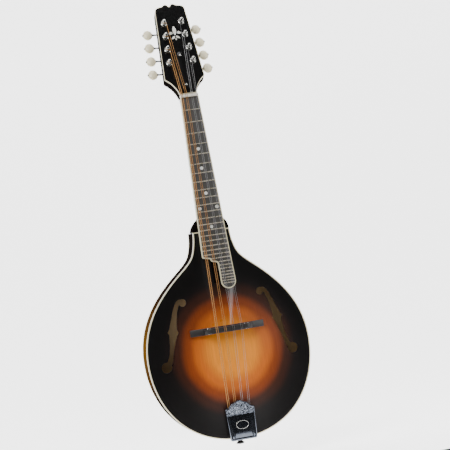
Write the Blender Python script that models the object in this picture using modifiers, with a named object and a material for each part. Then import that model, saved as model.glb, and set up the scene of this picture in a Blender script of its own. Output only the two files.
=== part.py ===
"""Arched-top mandolin with f-holes, built as separate pieces.

The origin is at the nut, in the middle of the neck's section. +Z runs up the neck, the top faces -Y and the
bass side is -X. Sizes are in millimetres and become metres where an object is made.
"""

import math

import bmesh
import bpy
from mathutils import Matrix, Vector
from mathutils.geometry import interpolate_bezier

MM = 0.001
GAP = 0.3
RIGHT = math.pi / 2

# Body
RIB_FRONT = -14.5
RIB_DEPTH = 38.5
RIB_WALL = 2.2
PLATE_EDGE = 4.5
PLATE_MIDDLE = 4.0
TOP_ARCH = 12.7
BACK_ARCH = 12.0
BODY_TOP = -205.0
BODY_TAIL = -520.0
BODY_WIDEST = -388.0
BODY_HALF = 124.5
SHOULDER_HALF = 28.0
ARCH_CENTRE = -385.0
BINDING = 1.6
LINING = 6.0
BLOCK_HALF = 24.0
BLOCK_LENGTH = 34.0
TAIL_BLOCK_HALF = 20.0
TAIL_BLOCK_LENGTH = 17.0
OUTLINE_STEPS = 7
PLATE_RINGS = (0.08, 0.3, 0.5, 0.68, 0.84, 0.95, 1.0)

# Neck and fingerboard
SCALE = 352.4
NUT_Z = -1.0
BOARD_Y = -10.7
NECK_TILT = math.radians(5.58)
BOARD_HALF_NUT = 14.0
BOARD_SPREAD = 0.0308
BOARD_THICK = 5.0
BOARD_BINDING = 1.3
FRETS = 29
FRET_TALL = 1.0
FRET_HALF = 0.7
BASS_END = -245.6
STEP_END = -253.9
TREBLE_END = -294.9
NUT_LENGTH = 4.2
NECK_DEPTH_NUT = 15.5
NECK_DEPTH_HEEL = 18.5
TONGUE_LENGTH = 12.0
TONGUE_ROOT = 8.0
TONGUE_TIP = 11.0

# Headstock
HEAD_TILT = math.radians(20.1)
HEAD_Y = -6.7
OVERLAY = 2.0
HEAD_THICK = 15.5
HEAD_BINDING = 1.5
POCKET_HALF = 5.5
POCKET_LOW = 1.5
POCKET_HIGH = 19.0
ROD_DEPTH = 11.3
ROD_HALF = 3.0
ROD_LENGTH = 190.0
ROD_END = 2.4
COVER_THICK = 2.0
COVER_SCREWS = (20.5, 71.5)
SCREW_HOLE = 1.1

# Tuners
POST_FIRST = 60.9
POST_PITCH = 23.0
POST_HALF_LOW = 18.35
POST_HALF_HIGH = 13.59
POST_RADIUS = 3.0
POST_HOLE = POST_RADIUS + 0.3
POST_TALL = 9.5
GEAR_TEETH = 13
GEAR_WIDE = 2.6
GEAR_PITCH_RADIUS = 4.0
WORM_PITCH_RADIUS = 2.0
TOOTH = 0.45
TUNER_STRIP = 1.2
STRIP_HALF = 6.0
WORM_DEPTH = 4.4
BUTTON_OUT = 24.2
BUTTON_RADIUS = 7.4
BUTTON_REACH = 7.4
BUTTON_FLAT = 0.55
SHAFT_RADIUS = 1.25

# Bridge and tail
SADDLE_RISE = 4.3
SADDLE_HALF = 36.0
SADDLE_WIDE = 7.0
BASE_HALF = 56.0
BASE_WIDE = 10.0
BASE_FRONT = -36.2
WHEEL_THICK = 2.4
WHEEL_RADIUS = 5.0
BRIDGE_POST = 1.6
BRIDGE_POST_X = 28.5
COVER_FRONT = -36.0
COVER_WALL = 0.8
COVER_HALF_TOP = 22.3
COVER_HALF_TAIL = 20.0
COVER_TIP = -461.0
COVER_TAIL = -521.0
TAIL_PLATE_FRONT = -24.6
TAIL_PLATE = 1.0
STRAP_Y = 4.7

# Strings: radius, and centre at the nut, the saddle and the tail, from bass to treble
STRINGS = (
    ("string_g1", 0.5, -12.6, -20.0, -16.0),
    ("string_g2", 0.5, -10.2, -17.4, -13.4),
    ("string_d1", 0.36, -5.3, -7.6, -6.6),
    ("string_d2", 0.36, -3.0, -5.0, -4.0),
    ("string_a1", 0.22, 3.0, 5.0, 4.0),
    ("string_a2", 0.22, 5.2, 7.5, 6.5),
    ("string_e1", 0.17, 10.4, 17.6, 13.4),
    ("string_e2", 0.17, 12.4, 20.0, 15.8),
)
NUT_STRING_RISE = 1.5
SLOT_SPARE = 0.15
COMPENSATION = 2.3


def clear_scene():
    for obj in list(bpy.data.objects):
        bpy.data.objects.remove(obj, do_unlink=True)


def new_collection(name):
    group = bpy.data.collections.new(name)
    bpy.context.scene.collection.children.link(group)
    return group


def make_material(name, colour, roughness, metallic=0.0):
    material = bpy.data.materials.new(name)
    material.use_nodes = True
    shader = material.node_tree.nodes["Principled BSDF"]
    shader.inputs["Base Color"].default_value = (*colour, 1.0)
    shader.inputs["Roughness"].default_value = roughness
    shader.inputs["Metallic"].default_value = metallic
    material.diffuse_color = (*colour, 1.0)
    return material


clear_scene()
PIECES = new_collection("mandolin")
CUTTERS = new_collection("cutters")
FINISHES = {
    "sunburst": ((0.46, 0.13, 0.02), 0.2),
    "dark_wood": ((0.05, 0.02, 0.01), 0.2),
    "ivory": ((0.72, 0.63, 0.42), 0.35),
    "bare_wood": ((0.6, 0.42, 0.22), 0.7),
    "black": ((0.01, 0.01, 0.01), 0.15),
    "ebony": ((0.03, 0.025, 0.022), 0.5),
    "bone": ((0.8, 0.77, 0.68), 0.4),
    "steel": ((0.6, 0.6, 0.6), 0.25, 1.0),
    "nickel": ((0.5, 0.5, 0.48), 0.2, 1.0),
    "bronze": ((0.5, 0.3, 0.12), 0.35, 1.0),
}
MATERIALS = {name: make_material(name, *values) for name, values in FINISHES.items()}


def empty(name, location, rotation, parent=None):
    frame = bpy.data.objects.new(name, None)
    PIECES.objects.link(frame)
    frame.location = Vector(location) * MM
    frame.rotation_euler = rotation
    frame.parent = parent
    return frame


def place(obj, finish, location=(0, 0, 0), rotation=(0, 0, 0), parent=None):
    """Put an object in its place with its finish; a piece without one is a cutter."""
    if finish:
        material = MATERIALS[finish].copy()
        material.name = obj.name
        obj.data.materials.clear()
        obj.data.materials.append(material)
        PIECES.objects.link(obj)
    else:
        CUTTERS.objects.link(obj)
        obj.hide_render = True
        obj.display_type = "WIRE"
    obj.location = Vector(location) * MM
    obj.rotation_euler = rotation
    obj.parent = parent
    return obj


def mesh_object(name, mesh_data):
    mesh_data.shade_smooth()
    mesh_data.set_sharp_from_angle(angle=math.radians(35))
    return bpy.data.objects.new(name, mesh_data)


def prism(name, loops, thickness):
    """A flat outline, with any holes, given thickness about its plane."""
    curve = bpy.data.curves.new(name, "CURVE")
    curve.dimensions = "2D"
    curve.fill_mode = "BOTH"
    curve.extrude = thickness * MM / 2
    for loop in loops:
        spline = curve.splines.new("POLY")
        spline.points.add(len(loop) - 1)
        for point, (across, along) in zip(spline.points, loop):
            point.co = (across * MM, along * MM, 0.0, 1.0)
        spline.use_cyclic_u = True
    return as_mesh(bpy.data.objects.new(name, curve))


def as_mesh(source):
    """The mesh of a curve object, with its loose caps welded."""
    bpy.context.scene.collection.objects.link(source)
    depsgraph = bpy.context.evaluated_depsgraph_get()
    mesh = bpy.data.meshes.new_from_object(source.evaluated_get(depsgraph))
    work = bmesh.new()
    work.from_mesh(mesh)
    bmesh.ops.remove_doubles(work, verts=work.verts, dist=0.00001)
    bmesh.ops.recalc_face_normals(work, faces=work.faces)
    bmesh.ops.dissolve_limit(work, angle_limit=0.001, verts=work.verts, edges=work.edges)
    work.to_mesh(mesh)
    work.free()
    name = source.name
    bpy.data.objects.remove(source, do_unlink=True)
    return mesh_object(name, mesh)


def loft(name, rings):
    """A closed body through rings of equal length, with flat ends."""
    work = bmesh.new()
    rows = [[work.verts.new(Vector(point) * MM) for point in ring] for ring in rings]
    count = len(rows[0])
    for low, high in zip(rows, rows[1:]):
        for i in range(count):
            j = (i + 1) % count
            work.faces.new((low[i], low[j], high[j], high[i]))
    work.faces.new(rows[0])
    work.faces.new(rows[-1])
    bmesh.ops.triangulate(work, faces=work.faces)
    bmesh.ops.recalc_face_normals(work, faces=work.faces)
    mesh = bpy.data.meshes.new(name)
    work.to_mesh(mesh)
    work.free()
    return mesh_object(name, mesh)


def turned(name, profile, segments, closed=False):
    """A profile of (radius, height) points, top to bottom, turned about Z."""
    mesh = bpy.data.meshes.new(name)
    points = [(radius * MM, 0.0, height * MM) for radius, height in profile]
    edges = [(i, i + 1) for i in range(len(points) - 1)]
    if closed:
        edges.append((len(points) - 1, 0))
    mesh.from_pydata(points, edges, [])
    obj = bpy.data.objects.new(name, mesh)
    screw = obj.modifiers.new("turn", "SCREW")
    screw.axis = "Z"
    screw.steps = segments
    screw.render_steps = segments
    screw.use_merge_vertices = True
    screw.merge_threshold = 0.00001
    screw.use_smooth_shade = True
    return obj


def wire(name, points, radius, sides=1):
    curve = bpy.data.curves.new(name, "CURVE")
    curve.dimensions = "3D"
    curve.bevel_depth = radius * MM
    curve.bevel_resolution = sides
    curve.use_fill_caps = True
    spline = curve.splines.new("POLY")
    spline.points.add(len(points) - 1)
    for target, point in zip(spline.points, points):
        target.co = (*(Vector(point) * MM), 1.0)
    return bpy.data.objects.new(name, curve)


def combine(obj, other, operation):
    step = obj.modifiers.new(other.name, "BOOLEAN")
    step.operation = operation
    step.object = other
    step.solver = "EXACT"


def box(name, low, high):
    """A box between two corners, as a cube primitive moved and scaled in its mesh."""
    work = bmesh.new()
    bmesh.ops.create_cube(work, size=1.0)
    middle = (Vector(low) + Vector(high)) / 2 * MM
    size = (Vector(high) - Vector(low)) * MM
    bmesh.ops.scale(work, vec=size, verts=work.verts)
    bmesh.ops.translate(work, vec=middle, verts=work.verts)
    mesh = bpy.data.meshes.new(name)
    work.to_mesh(mesh)
    work.free()
    return bpy.data.objects.new(name, mesh)


def cylinder(name, radius, length, segments=16):
    work = bmesh.new()
    bmesh.ops.create_cone(
        work, cap_ends=True, segments=segments, radius1=radius * MM, radius2=radius * MM, depth=length * MM
    )
    mesh = bpy.data.meshes.new(name)
    work.to_mesh(mesh)
    work.free()
    return mesh_object(name, mesh)


def bezier(start, start_handle, end_handle, end, steps):
    """Points along one curve, without the last one."""
    knots = [Vector((*point, 0.0)) for point in (start, start_handle, end_handle, end)]
    return [(p.x, p.y) for p in interpolate_bezier(*knots, steps + 1)[:-1]]


def arc(centre, radius, start, end, steps):
    angles = [start + (end - start) * i / steps for i in range(steps + 1)]
    return [(centre[0] + radius * math.cos(a), centre[1] + radius * math.sin(a)) for a in angles]


def mirrored(half):
    """A closed outline from its +X half, given from top to bottom."""
    left = [(-x, z) for x, z in reversed(half) if x > 0.001]
    return half + left


def inset(loop, distance):
    """A closed outline moved inwards by a distance, with mitred corners."""
    count = len(loop)
    area = sum(loop[i - 1][0] * loop[i][1] - loop[i][0] * loop[i - 1][1] for i in range(count))
    turn = 1.0 if area > 0 else -1.0
    moved = []
    for i in range(count):
        here = Vector(loop[i])
        before = (here - Vector(loop[i - 1])).normalized()
        after = (Vector(loop[(i + 1) % count]) - here).normalized()
        normal_before = Vector((-before.y, before.x)) * turn
        normal_after = Vector((-after.y, after.x)) * turn
        mitre = (normal_before + normal_after) / (1.0 + normal_before.dot(normal_after))
        moved.append(tuple(here + mitre * distance))
    return moved


def body_half():
    """The treble half of the body's outline, from the shoulder to the tail."""
    waist = (SHOULDER_HALF + 5.5, BODY_TOP - 32)
    flare = (SHOULDER_HALF + 31, BODY_TOP - 60)
    shoulder = (SHOULDER_HALF, BODY_TOP)
    widest = (BODY_HALF, BODY_WIDEST)
    tail = (0.0, BODY_TAIL)
    half = bezier(shoulder, (SHOULDER_HALF, BODY_TOP - 12), (waist[0] - 3.5, waist[1] + 10), waist, 4)
    half += bezier(waist, (waist[0] + 4, waist[1] - 11), (flare[0] - 9, flare[1] + 8), flare, 5)
    turn = (flare[0] + 35, flare[1] - 30)
    half += bezier(flare, turn, (widest[0], widest[1] + 56), widest, OUTLINE_STEPS)
    reach = BODY_WIDEST - BODY_TAIL
    low_handle = (widest[0], widest[1] - reach * 0.58)
    half += bezier(widest, low_handle, (widest[0] * 0.6, tail[1]), tail, OUTLINE_STEPS + 2)
    return half + [tail]


BODY = mirrored(body_half())


def edge_distance(direction):
    """How far the body's outline lies from the arch's centre along a direction."""
    best = None
    for i, point in enumerate(BODY):
        a = Vector((point[0], point[1] - ARCH_CENTRE))
        b = Vector((BODY[i - 1][0], BODY[i - 1][1] - ARCH_CENTRE))
        span = b - a
        denominator = direction.x * span.y - direction.y * span.x
        if abs(denominator) < 1e-9:
            continue
        along = (a.x * span.y - a.y * span.x) / denominator
        share = (a.x * direction.y - a.y * direction.x) / denominator
        if along > 0 and -1e-6 <= share <= 1 + 1e-6:
            best = along if best is None else max(best, along)
    return best


def swell(share, height):
    """How far a plate stands above its edge, at a share of the way from its centre."""
    reach = min(1.0, share / 0.97)
    return height * (1.0 + math.cos(math.pi * reach)) / 2


def top_surface(x, z):
    """The y of the top plate's outer face."""
    spot = Vector((x, z - ARCH_CENTRE))
    share = 0.0
    if spot.length > 0.01:
        share = spot.length / edge_distance(spot.normalized())
    return RIB_FRONT - PLATE_EDGE - swell(share, TOP_ARCH)


def plate(name, finish, near, outward, height):
    """An arched plate: rings from the middle of its outer face, round its edge, to its inner middle."""
    rim = inset(BODY, BINDING + GAP)
    rings = []
    for share in PLATE_RINGS:
        level = near + outward * (PLATE_EDGE + swell(share, height))
        rings.append([(x * share, level, ARCH_CENTRE + (z - ARCH_CENTRE) * share) for x, z in rim])
    for share in reversed(PLATE_RINGS):
        thin = PLATE_EDGE + (PLATE_MIDDLE - PLATE_EDGE) * (1.0 - share)
        level = near + outward * (PLATE_EDGE + swell(share, height) - thin)
        rings.append([(x * share, level, ARCH_CENTRE + (z - ARCH_CENTRE) * share) for x, z in rim])
    return place(loft(name, rings), finish)


def f_hole(side):
    """An f-hole's cutter: two round eyes joined by a slanted stem with a nick at its middle."""
    upper = (60.0 * side, -306.0)
    lower = (97.0 * side, -398.0)
    stem = [
        (63.0, -300.5),
        (69.5, -302.5),
        (77.0, -320.0),
        (83.0, -342.0),
        (86.5, -347.0),
        (84.5, -353.0),
        (91.0, -385.0),
        (94.0, -391.5),
        (90.0, -397.0),
        (84.5, -385.0),
        (76.0, -354.0),
        (73.0, -349.0),
        (75.0, -343.0),
        (70.0, -322.0),
        (65.0, -309.0),
    ]
    middle = prism("f_hole_stem", [[(x * side, z) for x, z in stem]], 60)
    place(middle, None, (0, -25, 0), (RIGHT, 0, 0))
    for centre, radius, label in ((upper, 5.6, "upper"), (lower, 8.0, "lower")):
        eye = cylinder("f_hole_" + label, radius, 60, 14)
        place(eye, None, (centre[0], -25, centre[1]), (RIGHT, 0, 0))
        combine(middle, eye, "UNION")
    return middle


def strip_loop(points, depth):
    """A closed band along an open line, from the line inwards by a depth."""
    inner = []
    for i, point in enumerate(points):
        before = Vector(points[max(i - 1, 0)])
        after = Vector(points[min(i + 1, len(points) - 1)])
        along = (after - before).normalized()
        inner.append((point[0] + along.y * depth, point[1] - along.x * depth))
    return points + list(reversed(inner))


def between(a, b, share):
    return (a[0] + (b[0] - a[0]) * share, a[1] + (b[1] - a[1]) * share)


def side_line(distance, top, middle_gap):
    """The treble half of the inset outline, cut off at a height and short of the tail's middle."""
    line = inset(BODY, distance)[: len(body_half())]
    low = next(i for i, p in enumerate(line) if p[1] < top)
    start = between(line[low - 1], line[low], (line[low - 1][1] - top) / (line[low - 1][1] - line[low][1]))
    if low == 1:
        start = (line[0][0], top)
    last = next(i for i, p in enumerate(line) if i > low and p[0] < middle_gap)
    reach = (line[last - 1][0] - middle_gap) / (line[last - 1][0] - line[last][0])
    return [start] + line[low:last] + [between(line[last - 1], line[last], reach)]


def half_band(name, finish, side, line, depth, y_low, y_high):
    """A band of a given depth inside a line along one side of the body."""
    loop = [(x * side, z) for x, z in strip_loop(line, depth)]
    band = prism(name, [loop], y_high - y_low)
    return place(band, finish, (0, (y_low + y_high) / 2, 0), (RIGHT, 0, 0))


def build_body():
    back = RIB_FRONT + RIB_DEPTH
    top_plate = plate("top_plate", "sunburst", RIB_FRONT - GAP, -1.0, TOP_ARCH)
    for side in (-1, 1):
        combine(top_plate, f_hole(side), "DIFFERENCE")
    plate("back_plate", "dark_wood", back + GAP, 1.0, BACK_ARCH)
    for name, low, high in (
        ("top_binding", RIB_FRONT - GAP - PLATE_EDGE, RIB_FRONT - GAP),
        ("back_binding", back + GAP, back + GAP + PLATE_EDGE),
    ):
        loops = [BODY, inset(BODY, BINDING)]
        place(prism(name, loops, high - low), "ivory", (0, (low + high) / 2, 0), (RIGHT, 0, 0))
    pin = cylinder("strap_hole", 3.0, 60)
    place(pin, None, (0, STRAP_Y, BODY_TAIL), (0, 0, 0))
    for side, label in ((-1, "bass"), (1, "treble")):
        line = side_line(0.0, BODY_TOP - GAP, 2 * GAP)
        rib = half_band("side_" + label, "dark_wood", side, line, RIB_WALL, RIB_FRONT, back)
        combine(rib, pin, "DIFFERENCE")
        block_end = BODY_TOP - BLOCK_LENGTH - 2 * GAP
        inner = side_line(RIB_WALL + GAP, block_end, TAIL_BLOCK_HALF + 2.0)
        for face, low in (("top", RIB_FRONT + GAP), ("back", back - GAP - LINING)):
            name = "lining_" + face + "_" + label
            half_band(name, "bare_wood", side, inner, LINING, low, low + LINING)
        bar_line = [(side * 30.0, -265.0), (side * 37.0, -265.0), (side * 47.0, -455.0), (side * 40.0, -455.0)]
        bar = prism("tone_bar_" + label, [bar_line], 30)
        place(bar, "bare_wood", (0, RIB_FRONT - 6.0, 0), (RIGHT, 0, 0))
        under = plate_block("under_top_" + label)
        combine(bar, under, "DIFFERENCE")
    wall = side_line(RIB_WALL + GAP, BODY_TOP - GAP, 1.0)
    block = [p for p in wall if p[1] > BODY_TOP - BLOCK_LENGTH] + [(BLOCK_HALF, BODY_TOP - BLOCK_LENGTH)]
    block = [(min(x, BLOCK_HALF), z) for x, z in block]
    neck_block = prism("neck_block", [mirrored(block)], RIB_DEPTH - 2 * GAP)
    place(neck_block, "bare_wood", (0, RIB_FRONT + RIB_DEPTH / 2, 0), (RIGHT, 0, 0))
    combine(neck_block, tongue("mortise", GAP), "DIFFERENCE")
    level = side_line(RIB_WALL + GAP, -500.0, TAIL_BLOCK_HALF)[-1][1]
    top = BODY_TAIL + RIB_WALL + TAIL_BLOCK_LENGTH
    low = (-TAIL_BLOCK_HALF, RIB_FRONT + GAP, level)
    high = (TAIL_BLOCK_HALF, RIB_FRONT + RIB_DEPTH - GAP, top)
    tail_block = place(box("tail_block", low, high), "bare_wood")
    combine(tail_block, pin, "DIFFERENCE")


def plate_block(name):
    """Everything from just under the top plate outwards, to trim a bar to the arch."""
    rings = []
    for share in PLATE_RINGS:
        thin = PLATE_EDGE + (PLATE_MIDDLE - PLATE_EDGE) * (1.0 - share)
        level = RIB_FRONT - PLATE_EDGE - swell(share, TOP_ARCH) + thin
        rings.append([(x * share, level, ARCH_CENTRE + (z - ARCH_CENTRE) * share) for x, z in BODY])
    rings.append([(x, -60.0, z) for x, z in BODY])
    return place(loft(name, rings), None)


def tongue(name, spare):
    """The neck's dovetail, wider towards its tip, with room to spare all round."""
    root = BODY_TOP + 3.0
    tip = BODY_TOP - TONGUE_LENGTH - spare
    half = [(TONGUE_ROOT + spare, root), (TONGUE_ROOT + spare, BODY_TOP), (TONGUE_TIP + spare, tip)]
    key = prism(name, [mirrored(half)], RIB_DEPTH - 8.0 + 2 * spare)
    return place(key, None, (0, RIB_FRONT + RIB_DEPTH / 2, 0), (RIGHT, 0, 0))


def board_half(u):
    return BOARD_HALF_NUT - BOARD_SPREAD * u


def fret_at(number):
    return SCALE * (1.0 - 2.0 ** (-number / 12.0))


def board_outline():
    """The fingerboard's edge, in the neck's frame: a stepped bass end and a rounded treble extension."""
    bass = board_half(BASS_END)
    treble = board_half(TREBLE_END + 11.0)
    centre = (treble - 11.0, TREBLE_END + 11.0)
    loop = [(-board_half(0.0), 0.0), (-board_half(BASS_END + 3.5), BASS_END + 3.5)]
    loop += arc((-bass + 3.2, BASS_END + 3.2), 3.2, math.pi * 1.05, math.pi * 1.45, 2)
    loop += [(-10.6, BASS_END - 1.6), (-9.0, BASS_END - 5.4), (-7.0, BASS_END - 6.6), (-1.6, STEP_END + 0.8)]
    loop += [(-0.2, STEP_END - 0.6), (centre[0] - 10.9, STEP_END - 4.0)]
    loop += arc(centre, 11.0, math.pi, math.pi * 2, 8)
    return loop + [(board_half(0.0), 0.0)]


def fret_profile():
    """The fingerboard seen from the side, with a bump for each fret, in (depth, along) points."""
    profile = [(BOARD_THICK, 1.0), (0.0, 1.0)]
    for number in range(1, FRETS + 1):
        middle = -fret_at(number)
        profile.append((0.0, middle + FRET_HALF))
        profile.append((-FRET_TALL, middle + FRET_HALF * 0.4))
        profile.append((-FRET_TALL, middle - FRET_HALF * 0.4))
        profile.append((0.0, middle - FRET_HALF))
    return profile + [(0.0, TREBLE_END - 2), (BOARD_THICK, TREBLE_END - 2)]


def neck_section(u, half, front, depth, roundness):
    """A flat front and a rounded back, in the neck's frame."""
    ring = []
    for i in range(13):
        angle = math.pi * i / 12
        across = math.cos(angle)
        down = math.sin(angle)
        x = math.copysign(abs(across) ** roundness, across) * half
        ring.append((x, front + depth * down**roundness, u))
    return ring


def build_neck(neck_frame, head_frame):
    front = BOARD_THICK + GAP
    shaft = []
    depths = ((4.0, 13.5), (-6.0, NECK_DEPTH_NUT), (-100.0, 17.0), (-180.0, NECK_DEPTH_HEEL), (-198.0, 19.5))
    for u, depth in depths:
        shaft.append(neck_section(u, board_half(u) - 0.2, front, depth, 0.8))
    neck = place(loft("neck", shaft), "dark_wood", parent=neck_frame)
    heel = []
    level = RIB_FRONT - GAP - PLATE_EDGE
    back = RIB_FRONT + RIB_DEPTH
    for z, half, bottom, roundness in (
        (-166.0, 14.0, -7.0, 0.8),
        (-178.0, 16.5, -2.0, 0.75),
        (-186.5, 19.0, 5.0, 0.7),
        (-190.0, 22.5, 9.0, 0.6),
        (-194.0, 25.3, 14.0, 0.5),
        (-199.0, 27.2, 20.0, 0.4),
        (BODY_TOP + GAP, SHOULDER_HALF, back, 0.3),
    ):
        heel.append(neck_section(z, half, level, bottom - level, roundness))
    combine(neck, place(loft("heel", heel), None), "UNION")
    combine(neck, tongue("dovetail", 0.0), "UNION")
    combine(neck, place(riser(), None), "UNION")
    slab = prism("headstock", [head_outline()], HEAD_THICK)
    place(slab, None, (0, OVERLAY + GAP + HEAD_THICK / 2, 0), (RIGHT, 0, 0), head_frame)
    combine(neck, slab, "UNION")
    scarf = box("scarf", (-12.8, OVERLAY + 1.0, -7.0), (12.8, HEAD_THICK - 1.0, 9.0))
    combine(neck, place(scarf, None, parent=head_frame), "UNION")
    groove_low = -ROD_LENGTH - 1.0
    groove_half = ROD_HALF + GAP
    groove = box("rod_groove", (-groove_half, 0.0, groove_low), (groove_half, ROD_DEPTH + groove_half, 12.0))
    place(groove, None, parent=neck_frame)
    combine(neck, groove, "DIFFERENCE")
    shelf = box("nut_shelf", (-30.0, -12.0, -3.0), (30.0, front, NUT_LENGTH + 1.6))
    place(shelf, None, parent=neck_frame)
    combine(neck, shelf, "DIFFERENCE")
    pocket = box("rod_pocket", (-POCKET_HALF, -1.0, POCKET_LOW), (POCKET_HALF, 12.5, POCKET_HIGH))
    place(pocket, None, parent=head_frame)
    combine(neck, pocket, "DIFFERENCE")
    overlay_loop = inset(head_outline(), HEAD_BINDING + GAP)
    overlay = prism("headstock_overlay", [overlay_loop], OVERLAY)
    place(overlay, "black", (0, OVERLAY / 2, 0), (RIGHT, 0, 0), head_frame)
    combine(overlay, pocket, "DIFFERENCE")
    trim = prism("headstock_binding", [head_outline(), inset(head_outline(), HEAD_BINDING)], OVERLAY)
    place(trim, "ivory", (0, OVERLAY / 2, 0), (RIGHT, 0, 0), head_frame)
    combine(trim, pocket, "DIFFERENCE")
    for name, u in (("lower", COVER_SCREWS[0]), ("upper", COVER_SCREWS[1])):
        hole = cylinder("cover_screw_hole_" + name, SCREW_HOLE, 20, 10)
        place(hole, None, (0, 0, u), (RIGHT, 0, 0), head_frame)
        for wood in (neck, overlay):
            combine(wood, hole, "DIFFERENCE")
    return neck, overlay


def riser():
    """The wedge that carries the fingerboard over the top plate, clear of the arch."""
    start = BODY_TOP + 4.0
    end = -284.0
    slope = math.tan(NECK_TILT)
    under = BOARD_Y + (BOARD_THICK + GAP) / math.cos(NECK_TILT)
    side = []
    for z in (start, end):
        side.append((under + (z - NUT_Z) * slope, z))
    lift = 1.0
    low = [(top_surface(0.0, z) - GAP - lift, z) for z in (end, -262.0, -238.0, BODY_TOP - 1.0)]
    wedge = side_prism("riser", side + low + [(low[-1][0] + 2.0, start)], 24.0)
    wedge.data.transform(Matrix.Translation((4.0 * MM, 0.0, 0.0)))
    return wedge


def side_prism(name, profile, width):
    """A (y, z) outline given width along X."""
    body = prism(name, [profile], width)
    body.data.transform(Matrix.Rotation(RIGHT, 4, "Z") @ Matrix.Rotation(RIGHT, 4, "X"))
    return body


def head_outline():
    """The headstock's edge: ears at the nut end, and two low humps with a notch between them at the top."""
    half = [(0.0, 158.0), (1.6, 159.3), (3.6, 161.8), (6.0, 162.6), (8.6, 161.8), (12.5, 159.6), (18.2, 158.2)]
    half += [(21.6, 156.2), (23.4, 151.5), (26.8, 100.0), (29.9, 50.0), (30.8, 36.0), (29.8, 33.0)]
    half += bezier((22.8, 26.5), (18.0, 22.0), (14.6, 14.0), (13.4, NUT_LENGTH + 2.2), 4)
    half += [(13.4, NUT_LENGTH + 2.2)]
    return mirrored(half)


def build_board(neck_frame):
    middle = BOARD_THICK / 2
    inner = inset(board_outline(), BOARD_BINDING + GAP)
    inner = [(x, min(u, -GAP)) for x, u in inner]
    board = place(side_prism("fingerboard", fret_profile(), 60.0), "ebony", parent=neck_frame)
    trim = place(prism("board_edge", [inner], 40.0), None, (0, middle, 0), (RIGHT, 0, 0), neck_frame)
    combine(board, trim, "INTERSECT")
    outer = [(x, min(u, -GAP)) for x, u in board_outline()]
    inside = inset(outer, BOARD_BINDING)
    open_end = [(x, u + 5.0) if u > -6.0 else (x, u) for x, u in inside]
    band = prism("fingerboard_binding", [outer], BOARD_THICK)
    place(band, "ivory", (0, middle, 0), (RIGHT, 0, 0), neck_frame)
    core = place(prism("binding_core", [open_end], 40.0), None, (0, middle, 0), (RIGHT, 0, 0), neck_frame)
    combine(band, core, "DIFFERENCE")
    nut = box("nut", (-13.6, -NUT_STRING_RISE - 0.5, GAP), (13.6, BOARD_THICK, NUT_LENGTH))
    place(nut, "bone", parent=neck_frame)
    for name, radius, at_nut, _, _ in STRINGS:
        half = radius + SLOT_SPARE
        floor = radius + 0.1 - NUT_STRING_RISE
        slot = box("slot_" + name, (at_nut - half, -6.0, -9.0), (at_nut + half, floor, 9.0))
        combine(nut, place(slot, None, parent=neck_frame), "DIFFERENCE")


def build_truss_rod(neck_frame, head_frame):
    middle = (0, ROD_DEPTH, 0)
    low = (-ROD_HALF, ROD_DEPTH - ROD_HALF, -ROD_LENGTH)
    high = (ROD_HALF, ROD_DEPTH + ROD_HALF, -3.0)
    rod = place(box("truss_rod", low, high), "steel", parent=neck_frame)
    end = place(cylinder("rod_end", ROD_END, 26.0, 12), None, (0, ROD_DEPTH, 3.0), parent=neck_frame)
    combine(rod, end, "UNION")
    nut = place(cylinder("truss_rod_nut", 4.0, 8.0, 6), "nickel", (0, ROD_DEPTH, 7.5), parent=neck_frame)
    bore = cylinder("rod_nut_bore", ROD_END + 0.25, 12.0, 12)
    place(bore, None, (0, ROD_DEPTH, 7.5), parent=neck_frame)
    combine(nut, bore, "DIFFERENCE")
    half = [(0.0, 76.5), (4.0, 74.5), (5.2, 70.0), (4.6, 60.0), (6.0, 45.0)]
    half += [(9.5, 30.0), (11.5, 21.0), (11.0, 13.0)]
    cover = prism("truss_rod_cover", [mirrored(half)], COVER_THICK)
    place(cover, "black", (0, -GAP - COVER_THICK / 2, 0), (RIGHT, 0, 0), head_frame)
    for name, u in (("lower", COVER_SCREWS[0]), ("upper", COVER_SCREWS[1])):
        hole = cylinder("cover_hole_" + name, SCREW_HOLE, 20, 10)
        place(hole, None, (0, 0, u), (RIGHT, 0, 0), head_frame)
        combine(cover, hole, "DIFFERENCE")
        top = COVER_THICK + GAP * 2
        profile = [(0.0, top + 1.0), (1.4, top + 0.8), (2.2, top), (0.8, top), (0.8, -5.0), (0.0, -6.0)]
        place(turned("cover_screw_" + name, profile, 10), "nickel", (0, 0, u), (RIGHT, 0, 0), head_frame)


def post_spot(index):
    share = index / 3.0
    across = POST_HALF_LOW + (POST_HALF_HIGH - POST_HALF_LOW) * share
    return across, POST_FIRST + POST_PITCH * index


ROW_TILT = math.atan2(POST_HALF_LOW - POST_HALF_HIGH, POST_PITCH * 3.0)
MESH_DISTANCE = GEAR_PITCH_RADIUS + WORM_PITCH_RADIUS
TOOTH_PITCH = 2.0 * math.pi * GEAR_PITCH_RADIUS / GEAR_TEETH
HEAD_BACK = OVERLAY + GAP + HEAD_THICK
STRIP_BACK = HEAD_BACK + GAP + TUNER_STRIP
WORM_Y = STRIP_BACK + WORM_DEPTH


def gear_outline():
    loop = []
    root = GEAR_PITCH_RADIUS - TOOTH - 0.15
    tip = GEAR_PITCH_RADIUS + TOOTH
    step = 2.0 * math.pi / GEAR_TEETH
    for tooth in range(GEAR_TEETH):
        middle = step * tooth - math.pi / 2
        for radius, offset in ((root, -0.26), (tip, 0.0), (root, 0.26)):
            angle = middle + offset * step
            loop.append((radius * math.cos(angle), radius * math.sin(angle)))
    return loop


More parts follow.
